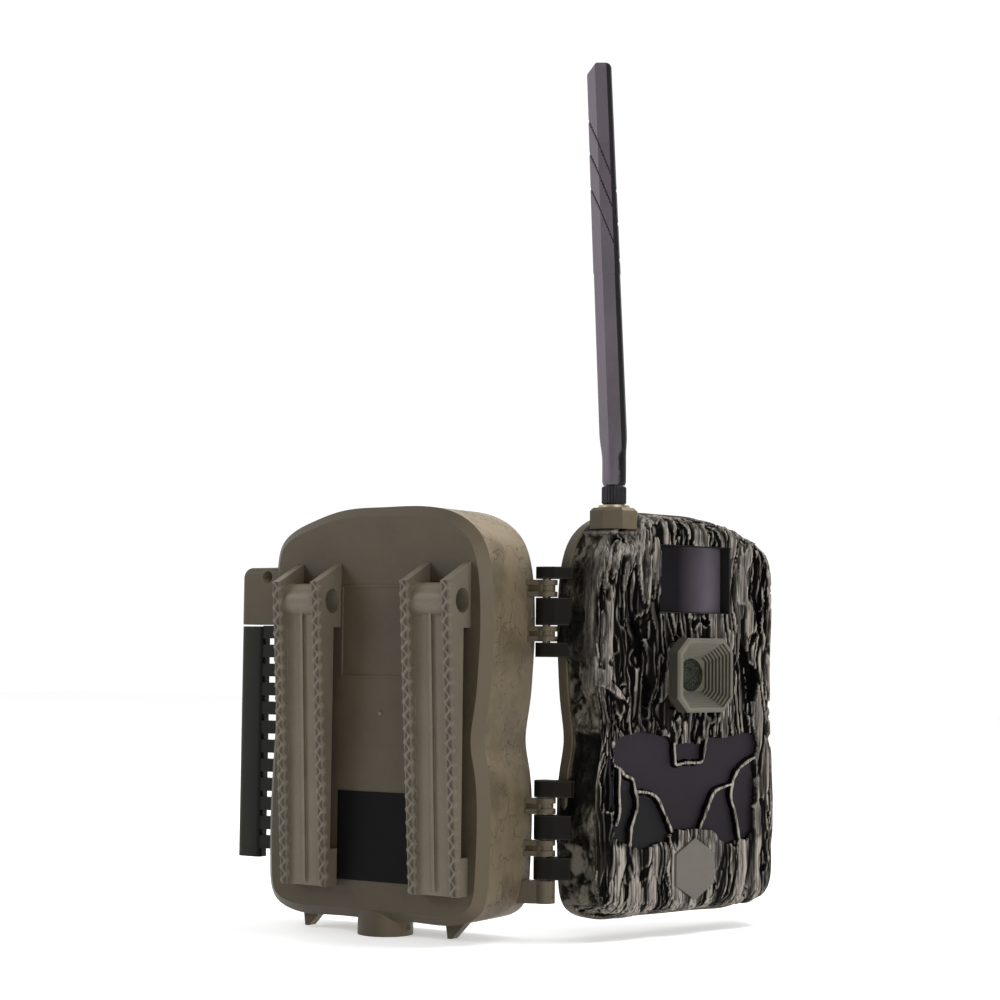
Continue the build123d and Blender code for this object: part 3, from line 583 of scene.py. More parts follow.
def lattice(points, seed):
    """Smooth value noise from 0 to 1 at each point."""
    base = np.floor(points).astype(np.int64)
    part = points - base
    part = part * part * (3 - 2 * part)
    total = np.zeros(len(points))
    for corner in range(8):
        offset = np.array([(corner >> axis) & 1 for axis in range(3)])
        cell = base + offset
        mixed = cell[:, 0] * 374761393 + cell[:, 1] * 668265263 + cell[:, 2] * 1440662683 + seed * 974634777
        mixed = (mixed ^ (mixed >> 13)) & 0xFFFFFFFF
        mixed = (mixed * 1274126177) & 0xFFFFFFFF
        value = ((mixed ^ (mixed >> 16)) & 0xFFFF) / 65535
        total += value * np.prod(np.where(offset, part, 1 - part), axis=1)
    return total


def layered(points, seed, layers=3):
    """Sum of finer and weaker noises, from 0 to 1."""
    weights = [0.5 ** layer for layer in range(layers)]
    total = sum(lattice(points * 2 ** layer, seed + layer) * weights[layer] for layer in range(layers))
    return total / sum(weights)


def place(u, v, w, across, along_grain, through):
    """Noise coordinates at the given feature sizes."""
    return np.column_stack([u / across, v / along_grain, w / through])


def ramp_between(value, low, high):
    """Smooth step from 0 at low to 1 at high."""
    t = np.clip((value - low) / (high - low), 0, 1)
    return t * t * (3 - 2 * t)


def bell(offset):
    return np.exp(-offset ** 2)


def blend(a, b, part):
    return a * (1 - part) + b * part


def polygon_distance(points, corners):
    """Signed distance in the plane: negative inside the polygon, and the outward direction."""
    corners = np.asarray(corners, float)
    best = np.full(len(points), 1e9)
    inside = np.zeros(len(points), bool)
    away = np.zeros((len(points), 2))
    for a, b in zip(corners, np.roll(corners, -1, axis=0)):
        edge = b - a
        along = np.clip(((points - a) @ edge) / max(edge @ edge, 1e-12), 0, 1)
        offset = points - (a + along[:, None] * edge)
        gap = np.hypot(offset[:, 0], offset[:, 1])
        nearer = gap < best
        best = np.where(nearer, gap, best)
        away[nearer] = offset[nearer]
        crosses = (a[1] > points[:, 1]) != (b[1] > points[:, 1])
        with np.errstate(divide="ignore", invalid="ignore"):
            cut = a[0] + (points[:, 1] - a[1]) * edge[0] / edge[1]
        inside ^= crosses & (points[:, 0] < cut)
    sign = np.where(inside, -1.0, 1.0)
    return best * sign, away / np.maximum(best, 1e-9)[:, None] * sign[:, None]


# Front face layout, in millimetres: X from the middle, Z above the housing's foot. The openings add
# how deep they sink and how ragged their edges are.

IR_OUTLINE = [
    (40.6, 63.9), (38.6, 66.8), (32.8, 68.4), (28.3, 69.6), (21.0, 68.6), (14.3, 67.3), (11.0, 64.4),
    (4.5, 64.9), (-1.6, 64.2), (-6.4, 66.2), (-16.2, 66.5), (-26.9, 68.0), (-32.4, 67.0), (-33.4, 63.5),
    (-31.6, 57.1), (-32.6, 48.0), (-31.4, 39.7), (-32.0, 31.5), (-27.4, 27.4), (-23.0, 28.2),
    (-18.0, 25.9), (-13.0, 27.9), (-9.0, 31.9), (-1.0, 32.6), (11.4, 32.6), (14.1, 28.7), (19.0, 28.2),
    (25.6, 26.2), (33.3, 28.4), (39.8, 31.0), (40.8, 36.9), (40.0, 47.8), (40.6, 56.6),
]
TWIGS = [
    [(40.8, 57.4), (38.6, 56.4), (35.7, 53.8), (31.6, 52.0), (30.4, 47.5), (29.2, 42.5), (31.1, 37.6),
     (32.5, 33.8), (32.7, 28.0)],
    [(30.4, 47.6), (26.0, 47.3), (21.9, 46.4), (18.8, 44.3), (15.7, 39.2), (11.7, 32.2)],
    [(-32.0, 58.6), (-28.8, 57.4), (-25.0, 55.4), (-22.0, 53.0), (-19.5, 48.1), (-19.1, 43.5), (-21.2, 37.7),
     (-23.6, 27.6)],
    [(-19.6, 48.7), (-15.0, 47.8), (-10.5, 46.1), (-7.3, 41.7), (-4.9, 37.2), (-2.3, 32.4)],
    [(10.8, 65.0), (10.6, 60.5), (9.9, 57.0), (4.8, 57.5), (-3.2, 57.6), (-4.6, 61.5), (-5.9, 66.6)],
    [(38.2, 56.2), (38.6, 47.5), (37.9, 41.0), (39.9, 35.6)],
]
PIR_OUTLINE = [(-18.4, 113.1), (18.4, 113.1), (18.4, 138.5), (-18.4, 138.5)]
PEEL = [(49.0, 93.5), (45.5, 92.0), (41.0, 87.0), (34.5, 80.6), (39.5, 81.6), (44.0, 84.6), (49.0, 86.0)]
POCKETS = [
    [(-23.5, 104), (-27.5, 99), (-29.0, 94.5), (-33.0, 92.5), (-34.0, 88), (-31.5, 80), (-28.5, 79.5),
     (-27.5, 86), (-26.0, 93), (-23.0, 99)],
    [(31.0, 112), (27.5, 108), (26.0, 100), (28.0, 92), (29.6, 96), (30.0, 104), (32.5, 109)],
    [(25.0, 91), (22.5, 86), (23.0, 79), (25.5, 76), (26.5, 84), (27.0, 89)],
    [(-32.0, 121), (-35.0, 117), (-36.5, 109), (-34.5, 107), (-32.5, 113)],
]
OPENINGS = [(IR_OUTLINE, 3.6, 0.9), (PIR_OUTLINE, 9.0, 0.0)] + [(pocket, 2.6, 0.9) for pocket in POCKETS]
FACE_MIDDLE_Z = 75.0
HOOD_MIDDLE_Z = 90.0
HOOD_HALF_X = 13.0
HOOD_HALF_Z = 12.3
HOOD_SINK = 8.0
BADGE_SEAT = 11.6
AERIAL_ROOM = 0.8
AERIAL_SHOW = 6.8

# The block under the bark: its voxels, how the shell tapers from its seam to its face, and the two
# ranges of height where the hinge lugs stand
BARK_PITCH = 0.48
RIM_STEPS = 360
SHELL_TAPER = 3.0
SHELL_SHIFT = 2.0
SHELL_MIDDLE = 75.5
SHELL_HALF = 49.0
SHELL_ROUND = 5.0
ROUND_STEPS = 6
LUG_ZONES = [(94.0, 131.0), (-2.0, 53.0)]


def opened(points):
    """Points drawn with the halves shut, moved to the rest pose."""
    turned = np.array(OPEN)
    return np.asarray(points) @ turned[:3, :3].T + turned[:3, 3]


def rim_outline():
    """The shell's outer outline at the seam, as X, Z points in millimetres, all the way round."""
    spots = shut_points("front_shell")
    flat = np.column_stack([spots[:, 0], spots[:, 2] - FOOT_Z]) / MM
    on_seam = np.abs(spots[:, 1] - SEAM_Y) < 0.05 * MM
    pairs = [e.vertices for e in frame["nodes"]["front_shell"].data.edges]
    sides = np.array([(a, b) for a, b in pairs if on_seam[a] and on_seam[b]])
    middle = np.array([0.0, FACE_MIDDLE_Z])
    starts = flat[sides[:, 0]] - middle
    runs = flat[sides[:, 1]] - middle - starts
    angles = np.linspace(-math.pi, math.pi, RIM_STEPS, endpoint=False)
    ring = []
    for ray in np.column_stack([np.cos(angles), np.sin(angles)]):
        cross = ray[0] * runs[:, 1] - ray[1] * runs[:, 0]
        cross = np.where(np.abs(cross) < 1e-9, 1e-9, cross)
        along = (ray[1] * starts[:, 0] - ray[0] * starts[:, 1]) / cross
        reach = (starts[:, 0] * runs[:, 1] - starts[:, 1] * runs[:, 0]) / cross
        hit = (along > -0.001) & (along < 1.001) & (reach > 0)
        ring.append(reach[hit].max() if hit.any() else np.nan)
    ring = np.array(ring)
    step = np.arange(RIM_STEPS)
    found = ~np.isnan(ring)
    ring = np.interp(step, step[found], ring[found], period=RIM_STEPS)
    return middle + np.column_stack([np.cos(angles), np.sin(angles)]) * ring[:, None]


def inward(outline, amount):
    """Outline moved inwards along its own normals."""
    tangent = np.roll(outline, -1, axis=0) - np.roll(outline, 1, axis=0)
    tangent /= np.hypot(*tangent.T)[:, None]
    normal = np.column_stack([-tangent[:, 1], tangent[:, 0]])
    return outline + normal * amount


def drawn_in(points, part):
    """Seam outline moved to where the tapering shell has it; part is 0 at the seam, 1 at the face."""
    x = points[:, 0] * (1 - SHELL_TAPER * part / SHELL_HALF) + SHELL_SHIFT * part
    z = SHELL_MIDDLE + (points[:, 1] - SHELL_MIDDLE) * (1 - SHELL_TAPER * part / SHELL_MIDDLE)
    return np.column_stack([x, z])


def drawn_out(points, part):
    """The reverse of drawn_in."""
    x = (points[:, 0] - SHELL_SHIFT * part) / (1 - SHELL_TAPER * part / SHELL_HALF)
    z = SHELL_MIDDLE + (points[:, 1] - SHELL_MIDDLE) / (1 - SHELL_TAPER * part / SHELL_MIDDLE)
    return np.column_stack([x, z])


def bark_block(outline):
    """Evenly meshed skin of the front half: a tapering block with a rounded front edge."""
    depth = (FACE_Y - SEAM_Y) / MM
    rings = [(outline, 0.0)]
    for step in range(ROUND_STEPS + 1):
        a = math.pi / 2 * step / ROUND_STEPS
        height = depth - SHELL_ROUND + SHELL_ROUND * math.sin(a)
        rings.append((inward(drawn_in(outline, height / depth), SHELL_ROUND * (1 - math.cos(a))), height))
    points = [(x * MM, SEAM_Y + height * MM, FOOT_Z + z * MM) for ring, height in rings for x, z in ring]
    block = mesh_object("bark_block", points, loft(len(rings), len(outline)))
    prism = aerial_prism()
    cut = block.modifiers.new("aerial", "BOOLEAN")
    cut.operation = "DIFFERENCE"
    cut.object = prism
    cut.solver = "EXACT"
    remesh = block.modifiers.new("even", "REMESH")
    remesh.mode = "VOXEL"
    remesh.voxel_size = BARK_PITCH * MM
    evaluated = block.evaluated_get(bpy.context.evaluated_depsgraph_get())
    even = bpy.data.meshes.new_from_object(evaluated)
    bpy.data.objects.remove(block)
    bpy.data.objects.remove(prism)
    return even


def aerial_prism():
    """Octagonal room for the aerial's mount where it stands out of the top, with the halves shut."""
    low, high = shut_box("antenna_mount")
    middle = (low + high) / 2
    reach = ((high - low)[0] / 2 + AERIAL_ROOM * MM) / math.cos(math.pi / 8)
    turns = [math.pi / 8 + math.pi / 4 * i for i in range(8)]
    ring = [(middle[0] + reach * math.cos(a), middle[1] + reach * math.sin(a)) for a in turns]
    foot = high[2] - (AERIAL_SHOW + AERIAL_ROOM) * MM
    points = [(x, y, z) for z in (foot, high[2] + 0.02) for x, y in ring]
    return mesh_object("aerial_prism", points, loft(2, 8))


def neighbour_mean(values, edges, rounds):
    """Average with the neighbours along mesh edges, several times."""
    count = np.bincount(edges.ravel(), minlength=len(values)).astype(float)
    for _ in range(rounds):
        total = np.bincount(edges[:, 0], weights=values[edges[:, 1]], minlength=len(values))
        total += np.bincount(edges[:, 1], weights=values[edges[:, 0]], minlength=len(values))
        values = (values + total) / (1 + count)
    return values


def bark_height(u, v, w):
    """Bark relief in millimetres: u across the grain, v along it, w a third way so that corners differ.
    Each noise takes its feature sizes and its seed."""
    meander = (layered(place(u, v, w, 13, 24, 26), 11) - 0.5) * 7
    wiggle = (layered(place(u, v, w, 3.5, 8, 12), 17, 2) - 0.5) * 1.1
    across = u + meander + wiggle
    strand = lattice(place(across, v, w, 2.3, 46, 40), 3)
    thin = lattice(place(across, v, w, 1.0, 30, 24), 5)
    staggered = v + 7 * (strand - 0.5) + 3 * (thin - 0.5)
    plates = layered(place(across, staggered, w, 8.5, 27, 20), 23, 3)
    level = ramp_between(plates, 0.43, 0.445) + 0.8 * ramp_between(plates, 0.55, 0.565)
    crack = lattice(place(across, v, w, 4.6, 40, 30), 31)
    fissure = 1 - ramp_between(np.abs(crack - 0.5), 0.015, 0.07)
    groove = 1 - ramp_between(np.abs(strand - 0.5), 0.02, 0.14)
    gouges = layered(place(across, staggered, w, 5, 11, 12), 41, 2)
    height = 0.75 * level + 0.5 * strand + 0.42 * thin - 1.1 * fissure - 0.55 * groove - 1.55
    return height - 0.9 * ramp_between(gouges, 0.66, 0.69)


class Skin:
    """The meshed block with the halves shut, and where each of its vertices lies in millimetres: x and z
    on the face, back behind it, u across the grain and v along it, both carried on round the edges."""

    def __init__(self):
        outline = rim_outline()
        self.mesh = bark_block(outline)
        self.spots = read_all(self.mesh.vertices, "co", 3)
        self.normals = read_all(self.mesh.vertex_normals, "vector", 3)
        self.edges = read_all(self.mesh.edges, "vertices", 2, np.int64)
        self.x = self.spots[:, 0] / MM
        self.z = (self.spots[:, 2] - FOOT_Z) / MM
        self.back = (FACE_Y - self.spots[:, 1]) / MM
        self.depth = (FACE_Y - SEAM_Y) / MM
        self.plane = np.column_stack([self.x, self.z])
        gap, away = polygon_distance(drawn_out(self.plane, 1 - self.back / self.depth), outline)
        self.rim_gap = -gap
        self.sideways = ramp_between(np.abs(away[:, 0]), 0.35, 0.8)
        self.u = self.x + np.sign(self.x) * self.back * self.sideways
        self.v = self.z + np.sign(self.z - FACE_MIDDLE_Z) * self.back * (1 - self.sideways)
        side = (self.x > 0) * self.sideways
        self.hinge_side = side * ramp_between(self.back, 1.5, 5.0) * ramp_between(self.v, -5, 8)
        self.torn = self.noise(3, 7, 4, 71, 3)
        self.corner = self.torn_corner()
        self.foot = ramp_between(30 - self.z, 0, 4) * (self.back < 8) * (1 - self.hinge_side)
        self.folds = self.noise(4.2, 60, 40, 77, 1)

    def noise(self, across, along_grain, through, seed, layers):
        return layered(place(self.u, self.v, self.back, across, along_grain, through), seed, layers)

    def torn_corner(self):
        """1 on the torn ridge between the face and the hinge side, and on the peeled flap."""
        ridge = (self.x > 20) * bell((self.rim_gap + self.back * 0.9 - 5.2) / 2.2)
        ridge = ridge * ramp_between(self.z, 78, 86) * ramp_between(141 - self.z, 0, 6)
        peel_gap, _ = polygon_distance(self.plane, PEEL)
        flap = ramp_between(-peel_gap, -0.3, 0.6) * (self.back < 6) * (0.7 + 0.5 * (self.torn - 0.5))
        return np.maximum(ridge * ramp_between(self.torn, 0.25, 0.45), flap)


# The functions below draw the relief and its marks by place: ranges of x, z and back are millimetres on
# the face and behind it, and heights are millimetres over the block.

def smooth_height(skin):
    """Broad swellings and creases of the hinge side."""
    broad = skin.noise(8, 11, 8, 57, 4)
    bent = skin.v + 0.35 * skin.u + 9 * (skin.noise(7, 9, 7, 59, 2) - 0.5)
    creases = np.abs(lattice(place(skin.u, bent, skin.back, 9, 2.6, 9), 61) - 0.5)
    wrinkled = np.clip(bell((skin.z - 79) / 10) + 0.5 * bell((skin.z - 14) / 14), 0, 1)
    return 3.2 * (broad - 0.6) - 0.9 * (1 - ramp_between(creases, 0.02, 0.14)) * wrinkled


def relief_height(skin):
    """Height of the relief over the block, in millimetres."""
    x, z, back = skin.x, skin.z, skin.back
    height = blend(bark_height(skin.u, skin.v, back * 0.7), smooth_height(skin), skin.hinge_side)
    height = blend(height, 2.0, 0.75 * skin.corner)
    scoop = (x > 0) * skin.sideways * ramp_between(back, 2.5, 4.5)
    scoop *= ramp_between(z, 39, 45) * ramp_between(70 - z, 0, 2.5)
    height = np.minimum(blend(height, -1.9, scoop), 0.55 + 0.5 * skin.corner)
    height = blend(height, 1.7 * skin.folds - 1.25, 0.55 * skin.foot)
    keep = ramp_between(skin.depth - back, 0.4, 2.4)
    height = np.where(back > skin.depth - 2.5, blend(-0.25, height, keep), height)
    badge = (sum(shut_box("badge_plate")) / 2 - (0, 0, FOOT_Z)) / MM
    badge_gap = hexagon_gap(x - badge[0], z - badge[2], BADGE_SEAT)
    height = np.where((badge_gap < 0) & (back < 3), np.minimum(height, -0.35), height)
    low, high = shut_box("antenna_mount")
    away = np.hypot(*(skin.spots - (low + high) / 2)[:, :2].T)
    near_aerial = away < (high - low)[0] / 2 + 2.5 * MM
    under = (high[2] - FOOT_Z) / MM - AERIAL_SHOW - 3
    return np.where(near_aerial & (z > under), np.maximum(height, 0.8), height)


def sink_openings(skin):
    """Depth of the openings in millimetres; vertices near an opening's edge are drawn onto it."""
    front = ramp_between(6.5 - skin.back, 0, 1)
    hood_x = sum(shut_box("lens_hood"))[0] / 2 / MM
    hood_gap = np.maximum(np.abs(skin.x - hood_x) - HOOD_HALF_X, np.abs(skin.z - HOOD_MIDDLE_Z) - HOOD_HALF_Z)
    sink = HOOD_SINK * (hood_gap < 0) * front
    wander = layered(place(skin.x, skin.z, skin.x * 0, 1.6, 1.6, 1), 83, 2) - 0.5
    for corners, depth, ragged in OPENINGS:
        gap, away = polygon_distance(skin.plane, corners)
        gap = gap + wander * ragged
        near = (np.abs(gap) < 0.42) & (skin.back < 5)
        skin.spots[:, [0, 2]] += -gap[:, None] * away * near[:, None] * MM
        sink = np.maximum(sink, depth * (gap < 0.0) * front)
    return sink


def grow_roots(skin, lifted):
    """Bark masses beside the hinge lugs: they swell sideways and reach over the rim."""
    back, gap = skin.back, skin.rim_gap
    zones = [ramp_between(skin.z, low, low + 5) * ramp_between(high - skin.z, 0, 5)
             for low, high in LUG_ZONES]
    roots = sum(zones) * (skin.x > 0) * skin.sideways
    knots = layered(place(skin.v, skin.v, back, 6, 6, 6), 131, 2)
    over_rim = roots * ramp_between(back, skin.depth - 5, skin.depth - 0.8) * ramp_between(1.8 - gap, 0, 0.8)
    swell = roots * ramp_between(back, skin.depth - 11, skin.depth - 3) * ramp_between(3 - gap, 0, 1.5)
    lifted[:, 1] -= over_rim * (2.6 + 1.6 * knots) * MM
    lifted[:, 0] += swell * (0.6 + 1.6 * knots) * MM


def crest_marks(skin, height, sink):
    """Lighter marks: rubbed raised edges with painted highlight, folds low on the face, and painted sunlight on
    the sunny parts of the hinge side.
    """
    z = skin.z
    # Raised edges: rubbed, with painted highlight.
    crest = np.clip(0.5 + (height - neighbour_mean(height, skin.edges, 6)) * 1.6, 0, 1)
    crest = np.clip(crest + 0.45 * skin.foot * ramp_between(skin.folds, 0.45, 0.75), 0, 1)
    crest = np.where(sink > 1, 0.0, crest)
    # Painted sunlight on bands of the hinge side.
    sunny = ramp_between(32 - z, 0, 5) + ramp_between(z, 69, 73) * ramp_between(98 - z, 0, 6)
    sunny = np.clip(sunny + ramp_between(z, 127, 134), 0, 1)
    blotch = ramp_between(skin.noise(4, 5, 4, 141, 3), 0.42, 0.56)
    return np.maximum(crest, skin.hinge_side * sunny * (0.6 + 0.4 * blotch))


def paint_marks(skin):
    """Painted shade: shadow patches on the face, and shade in the hollows of the hinge side, on the ridge and on
    the hood's flank.
    """
    x, z, back, hinge_side = skin.x, skin.z, skin.back, skin.hinge_side
    shadow = skin.noise(9, 15, 12, 101, 3)
    paint = ramp_between(shadow, 0.48, 0.58) * (0.1 + 0.9 * ramp_between(z, 62, 72)) * (1 - skin.corner)
    paint *= 0.3 + 0.7 * ramp_between(x, -10, 8)
    paint *= 1 - 0.6 * ramp_between(z, 136, 142) * (1 - hinge_side)
    paint *= 1 - 0.85 * bell((x + 1) / 15) * bell((z - 108) / 4.5)
    paint *= 1 - 0.9 * hinge_side
    # Painted shade in the hollows of the hinge side.
    hollow = bell((z - 107) / 9) + 0.8 * bell((z - 41) / 8) * ramp_between(back, 9, 14)
    hollow += 0.6 * bell((z - 122) / 6) * ramp_between(back, 12, 17)
    paint = np.maximum(paint, hinge_side * (1 - skin.corner) * np.clip(hollow * (0.65 + shadow), 0, 1))
    # Painted shade on the torn ridge.
    ridge = (x > 20) * skin.sideways * ramp_between(11 - back, 0, 4)
    ridge = ridge * ramp_between(z, 78, 86) * ramp_between(136 - z, 0, 8)
    paint = np.maximum(paint, 0.55 * ridge)
    # Painted shade on the hood's flank.
    beside_hood = bell((x - 18) / 5) * bell((z - 92) / 15)
    return np.clip(np.maximum(paint * (0.75 + 0.25 * hinge_side), beside_hood * 0.7), 0, 1)


def make_bark():
    """Bark relief over the front half, with the windows, hood and badge let into it."""
    skin = Skin()
    height = relief_height(skin)
    sink = sink_openings(skin)
    lifted = skin.spots + skin.normals * (height * MM)[:, None]
    lifted[:, 1] -= sink * MM
    grow_roots(skin, lifted)
    skin.mesh.vertices.foreach_set("co", opened(lifted).ravel())
    skin.mesh.update()
    piece = placed("bark_skin", skin.mesh)
    # Inside the openings the relief is set near its foot, so their walls take near-black painted shade.
    relief = np.where(sink > 1, 0.05, np.clip((height + 2.3) / 2.9, 0, 1))
    camo = np.clip(skin.hinge_side * (1 - 0.35 * skin.corner), 0, 1)
    crest = crest_marks(skin, height, sink)
    add_values(piece, relief=relief, crest=crest, camo=camo, paint=paint_marks(skin))
    finish_piece(piece, "bark_plastic", "front_half", replaces=["front_shell"])


def hexagon_gap(x, z, radius):
    """Signed distance to a hexagon that stands on a corner."""
    flat = radius * math.sqrt(3) / 2
    sides = [x * math.cos(a) + z * math.sin(a) for a in (0, math.pi / 3, 2 * math.pi / 3)]
    return np.max(np.abs(sides), axis=0) - flat


def make_ir_panel():
    """Smoked panel behind the ragged infrared opening."""
    outer = np.array(IR_OUTLINE)
    middle = outer.mean(0)
    wide = middle + (outer - middle) * 1.04
    front = FACE_Y - IR_DEPTH * MM
    points = [(x * MM, y, FOOT_Z + z * MM) for y in (front, front - 1.2 * MM) for x, z in wide]
    faces = loft(2, len(outer), flipped=True)
    make_piece("ir_panel", opened(points), faces, "smoked_window", "front_half", False, ["ir_window"])


def smooth_path(points, steps):
    """Catmull-Rom curve through the points."""
    knots = np.asarray(points, float)
    padded = np.vstack([2 * knots[0] - knots[1], knots, 2 * knots[-1] - knots[-2]])
    path = []
    for a, b, c, d in zip(padded, padded[1:], padded[2:], padded[3:]):
        for t in np.linspace(0, 1, steps, endpoint=False):
            path.append(0.5 * (2 * b + (c - a) * t + (2 * a - 5 * b + 4 * c - d) * t ** 2
                               + (3 * b - a - 3 * c + d) * t ** 3))
    path.append(knots[-1])
    return np.array(path)


# A vein's cross-section: how far to the side, in half widths, and how high, from 0 at its foot to 1
VEIN_SECTION = [(-2.3, 0.0), (-1.25, 0.7), (-0.6, 1.0), (0.65, 0.96), (1.3, 0.66), (2.4, 0.0)]


def make_twigs():
    """Thin bark veins that cross the infrared window."""
    foot = FACE_Y / MM - IR_DEPTH - 0.3
    for number, route in enumerate(TWIGS):
        path = smooth_path(route, 7)
        tangent = np.gradient(path, axis=0)
        tangent /= np.hypot(*tangent.T)[:, None]
        normal = np.column_stack([-tangent[:, 1], tangent[:, 0]])
        level = path[:, 0] * 0
        half = 0.52 + 0.4 * (lattice(place(*path.T, level, 1.3, 1.3, 1), 90 + number) - 0.5)
        top = FACE_Y / MM - 0.1 + 0.5 * (lattice(place(*path.T, level, 2.2, 2.2, 1), 95 + number) - 0.5)
        points = []
        for spot, aside, wide, high in zip(path, normal, half, top):
            for side, lift in VEIN_SECTION:
                x, z = spot + aside * side * wide
                points.append((x * MM, (foot + (high - foot) * lift) * MM, FOOT_Z + z * MM))
        faces = loft(len(path), len(VEIN_SECTION), closed=False)
        piece = make_piece(f"bark_vein_{number + 1}", opened(points), faces, "bark_plastic", "front_half")
        tops = np.tile([lift for _, lift in VEIN_SECTION], len(path))
        # Painted highlight on each vein's top and painted shade down its sides.
        lit = ramp_between(tops, 0.7, 0.95)
        add_values(piece, relief=0.2 + 0.6 * lit, crest=0.3 + 0.65 * lit, camo=tops * 0, paint=tops * 0)


def make_pir_recess():
    """Smooth walls of the motion sensor's opening, in near-black plastic as painted shade."""
    middle = np.mean(PIR_OUTLINE, axis=0)
    points = []
    for grow, back in ((1.0, 0.6), (0.985, 0.9), (0.94, 8.6)):
        ring = middle + (np.array(PIR_OUTLINE) - middle) * grow
        points += [(x * MM, FACE_Y - back * MM, FOOT_Z + z * MM) for x, z in ring]
    faces = loft(3, 4, capped=False)
    make_piece("pir_recess", opened(points), faces, "black_plastic", "front_half", False)


# Grip edges of the strap brackets, in millimetres

TOOTH_PITCH = 4.8
GRIP_STEP = 0.3
GRIP_HALF = 1.5
GRIP_TOOTH = 0.42
GRIP_RIDGE = 0.75
GRIP_FOOT = -1.9


def rail_edges():
    """Outer edge of each side plate: X middle, top point and foot point, in the row frame."""
    edges = []
    for node in ("mount_bracket_left", "mount_bracket_right"):
        points = np.array(node_points(node))
        for side in (points[:, 0].min() + 1.5 * MM, points[:, 0].max() - 1.5 * MM):
            plate = points[np.abs(points[:, 0] - side) < 1.6 * MM]
            top = plate[plate[:, 1].argmin()]
            feet = plate[plate[:, 2] < plate[:, 2].min() + 0.5 * MM]
            edges.append((side, top, feet[feet[:, 1].argmin()]))
    return edges


def make_grips():
    """Rope-like gripping edge: a zigzag ridge with a pit in each bend and points down both sides."""
    across = np.linspace(-1, 1, 17)
    for number, (middle, top, foot) in enumerate(rail_edges()):
        run = (foot - top)[1:]
        length = math.hypot(*run)
        down = run / length
        out = np.array([down[1], -down[0]])
        if out[0] > 0:
            out = -out
        rows = int(length / (GRIP_STEP * MM)) + 1
        points, pit_shades, beads = [], [], []
        for row in range(rows):
            t = row * GRIP_STEP
            swing = math.cos(2 * math.pi * t / TOOTH_PITCH)
            left = GRIP_HALF + GRIP_TOOTH * max(0.0, swing) ** 1.5
            right = GRIP_HALF + GRIP_TOOTH * max(0.0, -swing) ** 1.5
            for s in across:
                offset = s * (left if s < 0 else right)
                ridge = GRIP_RIDGE * bell((offset + 0.85 * swing) / 0.5)
                rim = 0.35 * max(0.0, 1 - abs(abs(s) - 0.86) / 0.2)
                lift = GRIP_FOOT if abs(s) == 1 else 0.12 + ridge + rim
                # Painted shade in the pits between the beads, and rubbed bead tops with painted highlight.
                pit_shades.append(max(0.0, 1 - ridge / 0.3) * (abs(s) < 0.72))
                beads.append(0.6 * max(0.0, ridge / GRIP_RIDGE - 0.4))
                y, z = top[1:] + down * t * MM + out * lift * MM
                points.append((middle + offset * MM, y, z))
        faces = loft(rows, len(across), closed=False, flipped=True)
        piece = make_piece(f"grip_edge_{number + 1}", points, faces, "bracket_plastic", "rear_half")
        add_values(piece, pit=np.clip(pit_shades, 0, 0.7), bead=beads)


def make_gate_mark():
    """Small moulding pip in the middle of the back."""
    low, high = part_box("rear_housing")
    centre = Vector((low.x + (high.x - low.x) * 0.53, low.y + 0.4 * MM, FOOT_Z + FACE_MIDDLE_Z * MM))
    rings, turns, radius, height = 5, 20, 0.85 * MM, 0.68 * MM
    points = []
    for ring in range(rings):
        a = math.pi / 2 * ring / rings
        for i in range(turns):
            b = 2 * math.pi * i / turns
            reach = radius * math.cos(a)
            points.append(centre + Vector((reach * math.cos(b), -height * math.sin(a), reach * math.sin(b))))
    points.append(centre - Vector((0, height, 0)))
    faces = loft(rings, turns, capped=False) + fan((rings - 1) * turns, turns, rings * turns)
    make_piece("gate_mark", points, faces, "badge_plastic", "rear_half")


# Aerial, in millimetres: the blade's cross-section, its round neck and the slope of its cuts

BLADE_SECTION = [(-5.15, 0.0), (-4.9, 0.7), (-1.95, 3.35), (2.75, 3.7), (4.5, 1.9), (5.15, -0.5), (4.6, -1.6),
                 (2.75, -3.6), (-1.95, -3.35), (-4.9, -0.8)]
NECK_HEIGHT = 9.0
NECK_RADIUS = 4.45
NECK_LEVELS = [0.0, 0.35, 1.2, 4.0, 8.0, 10.0, 11.5, 13.0, 14.5, 16.0, 18.0, 20.0, 24.0]
CUT_ZONE = 72
GROOVE_SLOPE = 2.75


def section_ring(corners, steps):
    """Evenly stepped points along a closed polygon, corners kept."""
    ring = []
    for a, b in zip(corners, corners[1:] + corners[:1]):
        count = max(1, round(math.dist(a, b) / steps))
        ring += [(a[0] + (b[0] - a[0]) * k / count, a[1] + (b[1] - a[1]) * k / count) for k in range(count)]
    return np.array(ring)


def aerial_axis():
    """Foot of the neck and tip of the blade, in millimetres."""
    spots = np.array(node_points("antenna_blade")) / MM
    tip = spots[spots[:, 2] > spots[:, 2].max() - 2.5].mean(0)
    base = np.array([AERIAL.x, AERIAL.y, 0]) / MM
    wide = np.hypot(*(spots[:, :2] - base[:2]).T) > 4.2
    base[2] = spots[wide][:, 2].min()
    return base, tip


